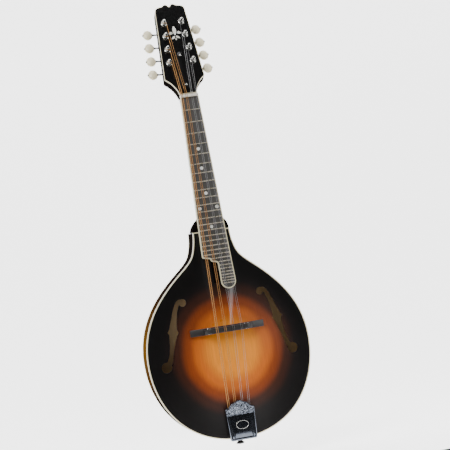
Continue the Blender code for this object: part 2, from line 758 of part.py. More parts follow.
def build_post(name, row, spot):
    """A string post with its gear behind the strip; its own Z runs out of the headstock's face."""
    profile = [(0.0, POST_TALL), (2.4, POST_TALL), (3.0, POST_TALL - 0.8), (3.0, POST_TALL - 2.0)]
    profile += [(2.3, POST_TALL - 3.0), (2.3, POST_TALL - 5.6), (3.0, POST_TALL - 6.6)]
    profile += [(POST_RADIUS, -WORM_Y - 2.2), (0.0, -WORM_Y - 2.2)]
    post = place(turned(name, profile, 10), "steel", spot, (RIGHT, 0, 0), row)
    gear = prism("gear_" + name, [gear_outline()], GEAR_WIDE)
    place(gear, None, (spot[0], WORM_Y, spot[2]), (RIGHT, 0, 0), row)
    combine(post, gear, "UNION")
    return post


def thread_rings(core, tall, pitch, low, high, hand, shift):
    """Rings up a rod whose surface swells along a helix of one hand, started a share of a turn on."""
    rings = []
    segments = 8
    per_turn = 6
    count = int(round((high - low) / pitch * per_turn))
    for row in range(count + 1):
        height = low + (high - low) * row / count
        fade = min(1.0, (height - low) / 0.5, (high - height) / 0.5)
        ring = []
        for i in range(segments):
            angle = 2.0 * math.pi * i / segments
            phase = (height / pitch - hand * angle / (2.0 * math.pi) + shift + 0.5) % 1.0 - 0.5
            rise = max(0.0, min(1.0, (0.27 - abs(phase)) / 0.12))
            radius = core + tall * rise * max(0.0, fade)
            ring.append((radius * math.cos(angle), radius * math.sin(angle), height))
        rings.append(ring)
    return rings


def build_key(name, side, row, spot):
    """A button on its shaft, with the worm that drives the gear; its own Z runs outwards."""
    outer = BUTTON_OUT
    shaft = SHAFT_RADIUS
    rings = []
    for height in (-6.6, -2.4):
        rings.append([(shaft * math.cos(a), shaft * math.sin(a), height) for a in ring_angles(8)])
    shift = 0.0 if side > 0 else 0.5
    core = WORM_PITCH_RADIUS - TOOTH - 0.1
    rings += thread_rings(core, 2 * TOOTH, TOOTH_PITCH, -2.1, 2.1, -side, shift)
    for height in (2.4, outer - 3.0):
        rings.append([(shaft * math.cos(a), shaft * math.sin(a), height) for a in ring_angles(8)])
    knob = []
    for turn in (0.14, 0.32, 0.5, 0.68, 0.86):
        wide = BUTTON_RADIUS * math.sin(math.pi * turn)
        height = outer - BUTTON_REACH * math.cos(math.pi * turn)
        knob.append([(wide * math.cos(a), wide * BUTTON_FLAT * math.sin(a), height) for a in ring_angles(10)])
    key = loft(name, rings)
    rotation = (0, side * (RIGHT - ROW_TILT), 0)
    place(key, "ivory", spot, rotation, row)
    button = place(loft("button_" + name, knob), None, spot, rotation, row)
    combine(key, button, "UNION")
    return key


def ring_angles(count):
    return [2.0 * math.pi * i / count for i in range(count)]


def build_tuners(head_frame, neck, overlay):
    worm_across = math.sin(ROW_TILT) * MESH_DISTANCE
    worm_along = -math.cos(ROW_TILT) * MESH_DISTANCE
    for side, label in ((-1, "bass"), (1, "treble")):
        holes = []
        for index in range(4):
            across, along = post_spot(index)
            spot = (side * across, 0.0, along)
            drill = place(cylinder("post_hole", POST_HOLE, 60, 12), None, spot, (RIGHT, 0, 0), head_frame)
            combine(neck, drill, "DIFFERENCE")
            combine(overlay, drill, "DIFFERENCE")
            holes.append(arc((side * across, along), POST_HOLE, 0, math.pi * 2 * 11 / 12, 11))
            number = index + 1
            build_post("string_post_" + label + "_" + str(number), head_frame, spot)
            worm_spot = (side * (across + worm_across), WORM_Y, along + worm_along)
            build_key("tuner_key_" + label + "_" + str(number), side, head_frame, worm_spot)
        build_strip("tuner_strip_" + label, side, holes, head_frame)


def build_strip(name, side, holes, head_frame):
    """The long base plate of one row, with a lug on each side of every worm."""
    along_row = Vector((-math.sin(ROW_TILT), math.cos(ROW_TILT)))
    outward = Vector((math.cos(ROW_TILT), math.sin(ROW_TILT)))
    start = Vector(post_spot(0)) - along_row * 12.0
    end = Vector(post_spot(3)) + along_row * 8.0
    corners = [start - outward * STRIP_HALF, start + outward * STRIP_HALF]
    corners += [end + outward * STRIP_HALF, end - outward * STRIP_HALF]
    loop = [(side * c.x, c.y) for c in corners]
    strip = prism(name, [loop] + holes, TUNER_STRIP)
    place(strip, "nickel", (0, HEAD_BACK + GAP + TUNER_STRIP / 2, 0), (RIGHT, 0, 0), head_frame)
    for index in range(4):
        worm = Vector(post_spot(index)) - along_row * MESH_DISTANCE
        for reach in (-5.1, 5.1):
            middle = worm + outward * reach
            lug = box("lug", (-0.6, -WORM_DEPTH - 0.6, -2.4), (0.6, 2.6, 2.4))
            spot = (side * middle.x, WORM_Y, middle.y)
            place(lug, None, spot, (0, -side * ROW_TILT, 0), head_frame)
            combine(strip, lug, "UNION")
        bore = cylinder("lug_bore", SHAFT_RADIUS + 0.25, 16.0, 8)
        place(bore, None, (side * worm.x, WORM_Y, worm.y), (0, side * (RIGHT - ROW_TILT), 0), head_frame)
        combine(strip, bore, "DIFFERENCE")


def board_point(u, depth):
    """A point of the neck's frame in the body's (y, z)."""
    y = BOARD_Y + u * math.sin(NECK_TILT) + depth * math.cos(NECK_TILT)
    z = NUT_Z + u * math.cos(NECK_TILT) - depth * math.sin(NECK_TILT)
    return y, z


SADDLE_POINT = board_point(-SCALE - COMPENSATION, -SADDLE_RISE)
SADDLE_FRONT = SADDLE_POINT[0]
BRIDGE_Z = SADDLE_POINT[1]
WHEEL_LOW = BASE_FRONT - GAP - WHEEL_THICK
SADDLE_FOOT = WHEEL_LOW - GAP


def build_bridge():
    steps = [-BASE_HALF + 8.0 * i for i in range(int(BASE_HALF / 4) + 1)]
    foot = [(x, max_surface(x) - GAP) for x in steps]
    shape = [(-BASE_HALF, -30.5), (-34.0, BASE_FRONT), (34.0, BASE_FRONT), (BASE_HALF, -30.5)]
    base = prism("bridge_base", [shape + list(reversed(foot))], BASE_WIDE)
    place(base, "ebony", (0, 0, BRIDGE_Z))
    top = SADDLE_FRONT + 0.1
    ends = SADDLE_HALF - 3.0
    half = [(SADDLE_HALF, SADDLE_FOOT), (SADDLE_HALF, SADDLE_FOOT - 4.0), (ends - 6.0, top), (0.0, top - 0.3)]
    left = [(-x, y) for x, y in reversed(half[:-1])]
    saddle = prism("bridge_saddle", [half + left], SADDLE_WIDE)
    place(saddle, "ebony", (0, 0, BRIDGE_Z))
    for name, radius, _, across, _ in STRINGS:
        slot_half = radius + SLOT_SPARE
        floor = SADDLE_FRONT + radius + 0.8
        slot = box("saddle_slot_" + name, (across - slot_half, -60.0, -9.0), (across + slot_half, floor, 9.0))
        combine(saddle, place(slot, None, (0, 0, BRIDGE_Z)), "DIFFERENCE")
    for side, label in ((-1, "bass"), (1, "treble")):
        spot = (side * BRIDGE_POST_X, 0, BRIDGE_Z)
        low = BASE_FRONT + 4.0
        high = SADDLE_FOOT - 4.6
        post = cylinder("bridge_post_" + label, BRIDGE_POST, low - high, 12)
        place(post, "steel", (spot[0], (low + high) / 2, BRIDGE_Z), (RIGHT, 0, 0))
        socket = cylinder("base_hole_" + label, BRIDGE_POST + GAP, 10.0, 12)
        place(socket, None, (spot[0], low + GAP - 5.0, BRIDGE_Z), (RIGHT, 0, 0))
        combine(base, socket, "DIFFERENCE")
        sleeve = cylinder("saddle_hole_" + label, BRIDGE_POST + GAP, 8.0, 12)
        place(sleeve, None, (spot[0], SADDLE_FOOT - 3.2, BRIDGE_Z), (RIGHT, 0, 0))
        combine(saddle, sleeve, "DIFFERENCE")
        wheel = cylinder("thumbwheel_" + label, WHEEL_RADIUS, WHEEL_THICK, 18)
        place(wheel, "nickel", (spot[0], WHEEL_LOW + WHEEL_THICK / 2, BRIDGE_Z), (RIGHT, 0, 0))
        bore = cylinder("wheel_bore_" + label, BRIDGE_POST + GAP, 8.0, 12)
        place(bore, None, (spot[0], WHEEL_LOW, BRIDGE_Z), (RIGHT, 0, 0))
        combine(wheel, bore, "DIFFERENCE")


def max_surface(x):
    """The plate's highest point under the bridge's foot at one place across it."""
    half = BASE_WIDE / 2
    return min(top_surface(x, BRIDGE_Z + dz) for dz in (-half, 0.0, half))


def build_tail():
    front = TAIL_PLATE_FRONT
    flange = BODY_TAIL - GAP
    profile = [(front, -474.0), (front, flange - TAIL_PLATE), (-2.5, flange - TAIL_PLATE), (-2.5, flange)]
    profile += [(front + TAIL_PLATE, flange), (front + TAIL_PLATE, -474.0)]
    base = place(side_prism("tailpiece_base", profile, 30.0), "nickel")
    bar = place(box("hook_bar", (-18.0, front - 3.0, -506.0), (18.0, front + 0.5, -503.0)), None)
    combine(base, bar, "UNION")
    tail = [(COVER_HALF_TAIL, COVER_TAIL)]
    edge = [(0.0, COVER_TIP), (5.0, COVER_TIP - 2.0), (12.0, COVER_TIP - 6.0), (17.5, COVER_TIP - 10.5)]
    edge += [(COVER_HALF_TOP, COVER_TIP - 11.0)]
    outline = mirrored(edge + tail)
    low = front - 0.5
    cover = prism("tailpiece_cover", [outline], low - COVER_FRONT)
    place(cover, "nickel", (0, (low + COVER_FRONT) / 2, 0), (RIGHT, 0, 0))
    hollow = [(COVER_HALF_TOP - COVER_WALL, COVER_TIP + 5.0)]
    hollow += [(COVER_HALF_TAIL - COVER_WALL, COVER_TAIL + COVER_WALL)]
    inside = prism("cover_hollow", [mirrored(hollow)], 20.0)
    place(inside, None, (0, COVER_FRONT + COVER_WALL + 10.0, 0), (RIGHT, 0, 0))
    combine(cover, inside, "DIFFERENCE")
    start = BODY_TAIL - GAP
    profile = [(0.0, 13.0), (2.0, 12.5), (2.7, 0.0), (4.6, 0.0), (3.4, -2.2), (3.2, -4.4), (6.4, -7.6)]
    profile += [(6.4, -9.0), (4.0, -10.4), (0.0, -10.4)]
    place(turned("strap_button", profile, 16), "black", (0, STRAP_Y, start))


def build_strings():
    """Each string from its hook over the saddle and the nut to one and a quarter turns round its post."""
    hook_z = -502.6
    hook_y = TAIL_PLATE_FRONT - 1.4
    for order, (name, radius, at_nut, at_saddle, at_tail) in enumerate(STRINGS):
        bass = order < 4
        index = order if bass else 7 - order
        across, along = post_spot(index)
        side = -1 if bass else 1
        wrap = 2.3 + radius + 0.25
        level = -(POST_TALL - 4.3)
        path = [(at_tail, hook_y, hook_z), (at_saddle, SADDLE_FRONT, BRIDGE_Z)]
        for u in (-0.5, NUT_LENGTH):
            y, z = board_point(u, -NUT_STRING_RISE)
            path.append((at_nut, y, z))
        turns = []
        for step in range(10):
            angle = (step / 8.0) * 2.0 * math.pi
            x = side * (across - wrap * math.cos(angle))
            u = along + wrap * math.sin(angle)
            turns.append((x, level + 0.4 - step * (2.0 * radius + 0.1) / 8.0, u))
        for x, depth, u in turns:
            y = HEAD_Y + u * math.sin(HEAD_TILT) + depth * math.cos(HEAD_TILT)
            z = NUT_Z + u * math.cos(HEAD_TILT) - depth * math.sin(HEAD_TILT)
            path.append((x, y, z))
        finish = "bronze" if bass else "steel"
        string = as_mesh(wire(name, path, radius))
        place(string, finish)


def main():
    neck_frame = empty("neck_frame", (0, BOARD_Y, NUT_Z), (-NECK_TILT, 0, 0))
    head_frame = empty("head_frame", (0, HEAD_Y, NUT_Z), (-HEAD_TILT, 0, 0))
    build_body()
    neck, overlay = build_neck(neck_frame, head_frame)
    build_board(neck_frame)
    build_truss_rod(neck_frame, head_frame)
    build_tuners(head_frame, neck, overlay)
    build_bridge()
    build_tail()
    build_strings()


main()
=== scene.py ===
"""Looks of the arched-top mandolin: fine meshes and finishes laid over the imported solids.

The row frame is the solids' own: the origin at the nut, +Z up the neck, the top facing -Y, the bass side at -X.
Sizes are in millimetres and become metres where a mesh is made.
"""

import logging
import math
from dataclasses import dataclass, field
from enum import Enum
from typing import Any, Callable, Iterable, Sequence

import bmesh
import bpy
from bpy.types import Curve, GeometryNodeTree, Material, Mesh, Node, NodeSocket, NodeTree, Object
from mathutils import Matrix, Vector
from mathutils.geometry import interpolate_bezier


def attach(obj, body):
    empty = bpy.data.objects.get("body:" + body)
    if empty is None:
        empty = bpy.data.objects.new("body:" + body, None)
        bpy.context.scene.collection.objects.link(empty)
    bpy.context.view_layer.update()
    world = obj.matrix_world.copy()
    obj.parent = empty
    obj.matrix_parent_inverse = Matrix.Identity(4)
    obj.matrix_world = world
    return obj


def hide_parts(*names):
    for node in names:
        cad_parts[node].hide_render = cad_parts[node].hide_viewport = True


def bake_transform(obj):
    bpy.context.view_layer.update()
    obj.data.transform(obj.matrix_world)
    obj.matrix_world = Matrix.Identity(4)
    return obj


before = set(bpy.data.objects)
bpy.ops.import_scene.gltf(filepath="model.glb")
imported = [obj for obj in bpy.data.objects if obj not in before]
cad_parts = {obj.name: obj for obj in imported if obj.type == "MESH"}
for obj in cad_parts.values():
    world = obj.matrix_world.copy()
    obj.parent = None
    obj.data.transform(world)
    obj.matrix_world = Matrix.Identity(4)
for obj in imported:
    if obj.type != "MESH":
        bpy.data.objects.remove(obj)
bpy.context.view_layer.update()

LOG = logging.getLogger("mandolin")
MM = 0.001
RIGHT = math.pi / 2
ROOT = "frame"

Point2 = tuple[float, float]
Point3 = tuple[float, float, float]


class Side(Enum):
    """The two sides of the instrument, as the sign of X."""

    BASS = -1
    TREBLE = 1

    @property
    def label(self) -> str:
        """The side's word in the names of its pieces."""
        return self.name.lower()


# --------------------------------------------------------------------------------------------------
# Colours and node helpers
# --------------------------------------------------------------------------------------------------


def linear(hex_colour: str) -> tuple[float, float, float, float]:
    """Turn an sRGB hex colour into linear RGBA.

    Args:
        hex_colour: Six hex digits, with or without a leading hash.

    Returns:
        The colour as four linear values.
    """
    digits = hex_colour.lstrip("#")
    channels = [int(digits[i : i + 2], 16) / 255 for i in (0, 2, 4)]
    values = [c / 12.92 if c <= 0.04045 else ((c + 0.055) / 1.055) ** 2.4 for c in channels]
    return (values[0], values[1], values[2], 1.0)


def add_node(tree: NodeTree, kind: str, **settings: object) -> Node:
    """Add a node, set its properties, and set or link its inputs.

    Args:
        tree: The tree that gets the node.
        kind: The node's type name.
        **settings: Properties by name, and inputs by their index as i0, i1 and so on.

    Returns:
        The new node.
    """
    made = tree.nodes.new(kind)
    for name, value in settings.items():
        if name[0] == "i" and name[1:].isdigit():
            socket = made.inputs[int(name[1:])]
            if isinstance(value, NodeSocket):
                tree.links.new(value, socket)
            else:
                socket.default_value = value
        else:
            setattr(made, name, value)
    return made


def ramp(tree: NodeTree, factor: NodeSocket, stops: Sequence[tuple[float, str]]) -> NodeSocket:
    """Map a factor to colours.

    Args:
        tree: The tree that gets the ramp.
        factor: The value mapped.
        stops: Places from 0 to 1, each with its sRGB hex colour.

    Returns:
        The ramp's colour output.
    """
    made = add_node(tree, "ShaderNodeValToRGB", i0=factor)
    made.color_ramp.interpolation = "EASE"
    elements = made.color_ramp.elements
    while len(elements) < len(stops):
        elements.new(0.5)
    for element, (place, colour) in zip(elements, stops):
        element.position = place
        element.color = linear(colour)
    return made.outputs[0]


@dataclass(frozen=True)
class Finish:
    """A finish whose colour, roughness and relief come from small procedural patterns."""

    name: str
    colour: str
    roughness: float = 0.3
    metallic: float = 0.0
    coat: float = 0.0
    shine: float = 0.5

    def build(self) -> Material:
        """Make the material.

        Returns:
            A material with this finish's shader.
        """
        material = bpy.data.materials.new(self.name)
        material.use_nodes = True
        tree = material.node_tree
        shader = tree.nodes["Principled BSDF"]
        shader.inputs["Metallic"].default_value = self.metallic
        shader.inputs["Roughness"].default_value = self.roughness
        shader.inputs["Coat Weight"].default_value = self.coat
        shader.inputs["Coat Roughness"].default_value = 0.04
        shader.inputs["IOR"].default_value = 1.5
        shader.inputs["Specular IOR Level"].default_value = self.shine
        place = add_node(tree, "ShaderNodeTexCoord").outputs["Object"]
        self.dress(tree, shader, place)
        material.diffuse_color = linear(self.colour)
        return material

    def dress(self, tree: NodeTree, shader: Node, place: NodeSocket) -> None:
        """Link a faint mottling to the shader's colour and roughness.

        Args:
            tree: The material's tree.
            shader: Its Principled shader.
            place: Object coordinates in metres.
        """
        mottle = self.noise(tree, place, 60.0, (1, 1, 1))
        self.vary(tree, shader, mottle, 0.9, 1.1)
        self.rough(tree, shader, self.noise(tree, place, 220.0, (1, 1, 1)), self.roughness, 0.35)

    def noise(
        self, tree: NodeTree, place: NodeSocket, scale: float, stretch: Point3, detail: float = 4.0
    ) -> NodeSocket:
        """Noise that may be stretched along an axis.

        Args:
            tree: The material's tree.
            place: Coordinates in metres.
            scale: Blobs in a metre.
            stretch: Scale of each axis.
            detail: Octaves of detail.

        Returns:
            The noise from 0 to 1.
        """
        mapped = add_node(tree, "ShaderNodeMapping", i0=place)
        mapped.inputs["Scale"].default_value = stretch
        made = add_node(tree, "ShaderNodeTexNoise", i0=mapped.outputs[0])
        made.inputs["Scale"].default_value = scale
        made.inputs["Detail"].default_value = detail
        return made.outputs[0]

    def vary(
        self, tree: NodeTree, shader: Node, value: NodeSocket, low: float, high: float,
        base: NodeSocket | None = None,
    ) -> None:
        """Brighten and darken the base colour with a pattern.

        Args:
            tree: The material's tree.
            shader: Its Principled shader.
            value: The pattern, 0 to 1.
            low: Brightness where the pattern is 0.
            high: Brightness where the pattern is 1.
            base: A colour to vary in place of the finish's own.
        """
        gain = add_node(tree, "ShaderNodeMapRange", i0=value)
        gain.inputs["To Min"].default_value = low
        gain.inputs["To Max"].default_value = high
        mix = add_node(tree, "ShaderNodeVectorMath", operation="SCALE")
        if base is None:
            mix.inputs[0].default_value = linear(self.colour)[:3]
        else:
            tree.links.new(base, mix.inputs[0])
        tree.links.new(gain.outputs[0], mix.inputs["Scale"])
        tree.links.new(mix.outputs[0], shader.inputs["Base Color"])

    def rough(
        self, tree: NodeTree, shader: Node, value: NodeSocket, middle: float, share: float
    ) -> None:
        """Let the roughness wander around its middle value.

        Args:
            tree: The material's tree.
            shader: Its Principled shader.
            value: The pattern, 0 to 1.
            middle: The roughness at the pattern's middle.
            share: How much of the middle value it wanders each way.
        """
        gain = add_node(tree, "ShaderNodeMapRange", i0=value)
        gain.inputs["To Min"].default_value = middle * (1 - share)
        gain.inputs["To Max"].default_value = middle * (1 + share)
        tree.links.new(gain.outputs[0], shader.inputs["Roughness"])

    def relief(
        self, tree: NodeTree, shader: Node, value: NodeSocket, strength: float, depth: float
    ) -> None:
        """Raise the surface with a pattern.

        Args:
            tree: The material's tree.
            shader: Its Principled shader.
            value: The pattern, 0 to 1.
            strength: The bump's strength.
            depth: The pattern's depth in metres.
        """
        bump = add_node(tree, "ShaderNodeBump")
        bump.inputs["Strength"].default_value = strength
        bump.inputs["Distance"].default_value = depth
        tree.links.new(value, bump.inputs["Height"])
        tree.links.new(bump.outputs[0], shader.inputs["Normal"])


@dataclass(frozen=True)
class Burst(Finish):
    """A sunburst over straight spruce grain: a glowing middle that falls off to near black at the rim."""

    centre: Point3 = (0.004, 0.0, -0.385)
    reach: Point3 = (0.112, 1.0, 0.118)
    stops: tuple[tuple[float, str], ...] = ()
    grain: float = 900.0

    def dress(self, tree: NodeTree, shader: Node, place: NodeSocket) -> None:
        """Link the burst, its grain and a lacquer's faint ripple.

        Args:
            tree: The material's tree.
            shader: Its Principled shader.
            place: Object coordinates in metres.
        """
        away = add_node(tree, "ShaderNodeVectorMath", operation="SUBTRACT", i0=place, i1=self.centre)
        flat = add_node(tree, "ShaderNodeVectorMath", operation="DIVIDE", i0=away.outputs[0], i1=self.reach)
        level = add_node(
            tree, "ShaderNodeVectorMath", operation="MULTIPLY", i0=flat.outputs[0], i1=(1.0, 0.0, 1.0),
        )
        far = add_node(tree, "ShaderNodeVectorMath", operation="LENGTH", i0=level.outputs[0])
        cloud = self.noise(tree, place, 14.0, (1, 1, 1), 2.0)
        soft = add_node(
            tree, "ShaderNodeMath", operation="MULTIPLY_ADD", i0=cloud, i1=0.08, i2=far.outputs["Value"],
        )
        colour = ramp(tree, soft.outputs[0], self.stops)
        lines = self.noise(tree, place, self.grain, (1.0, 1.0, 0.012), 3.0)
        self.vary(tree, shader, lines, 0.72, 1.28, colour)
        self.rough(tree, shader, cloud, self.roughness, 0.2)


@dataclass(frozen=True)
class SideLacquer(Finish):
    """Dark lacquer on the ribs, with figured maple glowing through in the middle of the bout."""

    centre: Point3 = (0.0, 0.0, -0.365)
    stops: tuple[tuple[float, str], ...] = (
        (0.0, "#54380f"), (0.4, "#3d270d"), (0.75, "#1a110c"), (1.0, "#120e0c"),
    )

    def dress(self, tree: NodeTree, shader: Node, place: NodeSocket) -> None:
        """Link the glow along the ribs and the figure across them.

        Args:
            tree: The material's tree.
            shader: Its Principled shader.
            place: Object coordinates in metres.
        """
        away = add_node(tree, "ShaderNodeVectorMath", operation="SUBTRACT", i0=place, i1=self.centre)
        height = add_node(tree, "ShaderNodeSeparateXYZ", i0=away.outputs[0]).outputs[2]
        size = add_node(tree, "ShaderNodeMath", operation="ABSOLUTE", i0=height)
        share = add_node(tree, "ShaderNodeMath", operation="DIVIDE", i0=size.outputs[0], i1=0.105)
        colour = ramp(tree, share.outputs[0], self.stops)
        figure = self.noise(tree, place, 260.0, (0.35, 0.05, 1.0), 2.0)
        self.vary(tree, shader, figure, 0.7, 1.3, colour)
        self.rough(tree, shader, figure, self.roughness, 0.2)


@dataclass(frozen=True)
class GrainedWood(Finish):
    """Wood with long grain and open pores along Z."""

    pores: float = 700.0
    contrast: float = 0.45
    depth: float = 0.0002

    def dress(self, tree: NodeTree, shader: Node, place: NodeSocket) -> None:
        """Link the grain to the colour and the pores to the relief.

        Args:
            tree: The material's tree.
            shader: Its Principled shader.
            place: Object coordinates in metres.
        """
        grain = self.noise(tree, place, self.pores, (1.0, 1.0, 0.03), 5.0)
        self.vary(tree, shader, grain, 1.0 - self.contrast, 1.0 + self.contrast)
        self.rough(tree, shader, grain, self.roughness, 0.25)
        self.relief(tree, shader, grain, 0.35, self.depth)


@dataclass(frozen=True)
class Streaked(Finish):
    """Grained cream plastic, with faint parallel streaks and soft wear."""

    def dress(self, tree: NodeTree, shader: Node, place: NodeSocket) -> None:
        """Link the streaks.

        Args:
            tree: The material's tree.
            shader: Its Principled shader.
            place: Object coordinates in metres.
        """
        streak = self.noise(tree, place, 420.0, (1.0, 0.25, 0.12), 3.0)
        self.vary(tree, shader, streak, 0.86, 1.1)
        self.rough(tree, shader, streak, self.roughness, 0.2)


@dataclass(frozen=True)
class Metal(Finish):
    """Plated or turned metal with fine handling marks and a little clouding."""

    marks: float = 500.0

    def dress(self, tree: NodeTree, shader: Node, place: NodeSocket) -> None:
        """Link the clouding and the fine marks.

        Args:
            tree: The material's tree.
            shader: Its Principled shader.
            place: Object coordinates in metres.
        """
        cloud = self.noise(tree, place, 70.0, (1, 1, 1), 3.0)
        self.vary(tree, shader, cloud, 0.82, 1.12)
        fine = self.noise(tree, place, self.marks, (1.0, 1.0, 0.2), 4.0)
        self.rough(tree, shader, fine, self.roughness, 0.4)
        self.relief(tree, shader, fine, 0.12, 0.00008)


@dataclass(frozen=True)
class Pearl(Finish):
    """Mother-of-pearl with broad drifting cells of cool and warm white."""

    def dress(self, tree: NodeTree, shader: Node, place: NodeSocket) -> None:
        """Link the drifting colour.

        Args:
            tree: The material's tree.
            shader: Its Principled shader.
            place: Object coordinates in metres.
        """
        drift = self.noise(tree, place, 180.0, (1.0, 1.0, 0.5), 3.0)
        colour = ramp(tree, drift, ((0.3, "#b7b9ae"), (0.5, "#e6e3da"), (0.62, "#cfd6d6"), (0.75, "#f3eadf")))
        tree.links.new(colour, shader.inputs["Base Color"])
        self.rough(tree, shader, drift, self.roughness, 0.3)


@dataclass(frozen=True)
class Wound(Finish):
    """Bronze wrap on a string: fine turns across its length, with painted shade in the grooves between them."""

    def dress(self, tree: NodeTree, shader: Node, place: NodeSocket) -> None:
        """Link the turns to the relief, and paint shade into the colour: darker in the grooves between turns,
        lighter on the crests.

        Args:
            tree: The material's tree.
            shader: Its Principled shader.
            place: Object coordinates in metres.
        """
        height = add_node(tree, "ShaderNodeSeparateXYZ", i0=place).outputs[2]
        phase = add_node(tree, "ShaderNodeMath", operation="MULTIPLY", i0=height, i1=2.0 * math.pi / 0.00045)
        wave = add_node(tree, "ShaderNodeMath", operation="SINE", i0=phase.outputs[0])
        half = add_node(tree, "ShaderNodeMath", operation="MULTIPLY_ADD", i0=wave.outputs[0], i1=0.5, i2=0.5)
        # Painted shade: the colour darkens in each groove between turns and lightens on each crest, in step with
        # the relief.
        self.vary(tree, shader, half.outputs[0], 0.6, 1.15)
        self.relief(tree, shader, half.outputs[0], 0.5, 0.00012)


@dataclass(frozen=True)
class Glow(Finish):
    """Seamless studio paper, lit evenly from within so that it stays pale."""

    strength: float = 2.0

    def dress(self, tree: NodeTree, shader: Node, place: NodeSocket) -> None:
        """Link a faint mottling and the paper's own light.

        Args:
            tree: The material's tree.
            shader: Its Principled shader.
            place: Object coordinates in metres.
        """
        self.vary(tree, shader, self.noise(tree, place, 2.0, (1, 1, 1), 2.0), 0.97, 1.0)
        shader.inputs["Emission Color"].default_value = (1.0, 1.0, 1.0, 1.0)
        shader.inputs["Emission Strength"].default_value = self.strength
        self.rough(tree, shader, self.noise(tree, place, 5.0, (1, 1, 1), 2.0), self.roughness, 0.05)


@dataclass(frozen=True)
class Engraved(Metal):
    """Bright plate with scrollwork stamped into its upper part, above a level along Z."""

    level: float = -0.482

    def dress(self, tree: NodeTree, shader: Node, place: NodeSocket) -> None:
        """Link the stamped scrolls and the plain zone's clouding.

        Args:
            tree: The material's tree.
            shader: Its Principled shader.
            place: Object coordinates in metres.
        """
        height = add_node(tree, "ShaderNodeSeparateXYZ", i0=place).outputs[2]
        gate = add_node(tree, "ShaderNodeMapRange", i0=height)
        gate.inputs["From Min"].default_value = self.level - 0.001
        gate.inputs["From Max"].default_value = self.level + 0.001
        cells = add_node(tree, "ShaderNodeTexVoronoi", i0=place, feature="DISTANCE_TO_EDGE")
        cells.inputs["Scale"].default_value = 320.0
        swirl = self.noise(tree, place, 380.0, (1, 1, 1), 2.0)
        scroll = add_node(
            tree, "ShaderNodeMath", operation="MULTIPLY", i0=cells.outputs["Distance"], i1=swirl,
        )
        cut = add_node(tree, "ShaderNodeMath", operation="MULTIPLY", i0=scroll.outputs[0], i1=gate.outputs[0])
        cloud = self.noise(tree, place, 70.0, (1, 1, 1), 3.0)
        self.vary(tree, shader, cloud, 0.8, 1.15)
        self.rough(tree, shader, swirl, self.roughness, 0.3)
        self.relief(tree, shader, cut.outputs[0], 1.0, 0.004)


FINISHES = {
    "top": Burst(
        "spruce_burst", "#c07428", 0.3, coat=0.5, shine=0.3,
        stops=(
            (0.0, "#d88a2a"), (0.3, "#cf7c22"), (0.5, "#a85518"), (0.64, "#6e300f"), (0.78, "#2c150c"), (0.92, "#0d0808"),
            (1.0, "#080606"),
        ),
    ),
    "back": Burst(
        "maple_burst", "#6b3a18", 0.25, coat=0.5, grain=350.0,
        stops=((0.0, "#8a4c1c"), (0.35, "#6e3815"), (0.65, "#3a1d0f"), (0.9, "#150c0a"), (1.0, "#0b0807")),
    ),
    "sides": SideLacquer("rib_lacquer", "#2a1a10", 0.6, shine=0.0),
    "neck": Finish("neck_lacquer", "#0e0b0a", 0.4, shine=0.0),
    "binding": Streaked("cream_binding", "#d9cfae", 0.3, coat=0.2, shine=0.3),
    "black": Finish("black_lacquer", "#070707", 0.18, coat=0.6, shine=0.3),
    "fingerboard": GrainedWood("rosewood", "#3a3835", 0.5),
    "ebony": GrainedWood("ebony", "#1f1c1b", 0.42, contrast=0.3),
    "bare": GrainedWood("bare_spruce", "#c9a36b", 0.7),
    "nut": Streaked("bone", "#e4ded0", 0.4),
    "nickel": Metal("nickel_plate", "#b9b9b4", 0.22, 1.0),
    "cover": Engraved("engraved_nickel", "#5a5f68", 0.16, 1.0),
    "steel": Metal("steel", "#a9a9a9", 0.3, 1.0),
    "fret": Metal("fret_wire", "#b5ad9c", 0.28, 1.0),
    "button": Streaked("ivoroid", "#f6ebc8", 0.3, coat=0.3),
    "pearl": Pearl("pearl", "#dcdcd4", 0.25, coat=0.6),
    "bronze": Wound("bronze_wrap", "#b98b5a", 0.35, 1.0),
    "string_steel": Metal("plain_string", "#9a9a9a", 0.4, 1.0),
    "inside": GrainedWood("bare_maple", "#7d6a4a", 0.8, contrast=0.3),
    "shaft": Metal("blued_shaft", "#4a4744", 0.35, 1.0),
    "brass": Metal("gear_brass", "#b5924f", 0.35, 1.0),
    "paper": Glow("studio_paper", "#ffffff", 0.9),
}


class Paints:
    """Builds each finish once and hands out its material."""

    def __init__(self) -> None:
        """Start with nothing built."""
        self.made: dict[str, Material] = {}

    def get(self, name: str) -> Material:
        """Return the material of a finish.

        Args:
            name: A key of FINISHES.

        Returns:
            The finish's material.
        """
        if name not in self.made:
            self.made[name] = FINISHES[name].build()
        return self.made[name]

    def wear(self, piece: Object, name: str) -> None:
        """Give a piece one finish all over.

        Args:
            piece: The piece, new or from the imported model.
            name: A key of FINISHES.
        """
        if not piece.material_slots:
            piece.data.materials.append(self.get(name))
        for slot in piece.material_slots:
            slot.material = self.get(name)


PAINTS = Paints()


# --------------------------------------------------------------------------------------------------
# Shape helpers
# --------------------------------------------------------------------------------------------------


def add_piece(
    name: str, mesh: Mesh, finish: str, body: str = ROOT, stands_for: Sequence[str] = (), angle: float = 35.0
) -> Object:
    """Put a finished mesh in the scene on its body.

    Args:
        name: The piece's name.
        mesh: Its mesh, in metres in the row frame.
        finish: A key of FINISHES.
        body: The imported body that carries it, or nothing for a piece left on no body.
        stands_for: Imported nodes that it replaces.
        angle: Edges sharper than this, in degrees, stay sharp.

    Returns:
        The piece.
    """
    mesh.name = name
    mesh.shade_smooth()
    mesh.set_sharp_from_angle(angle=math.radians(angle))
    piece = bpy.data.objects.new(name, mesh)
    bpy.context.scene.collection.objects.link(piece)
    PAINTS.wear(piece, finish)
    if body:
        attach(piece, body)
    if stands_for:
        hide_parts(*stands_for)
    LOG.info("%s: %d faces", name, len(mesh.polygons))
    return piece


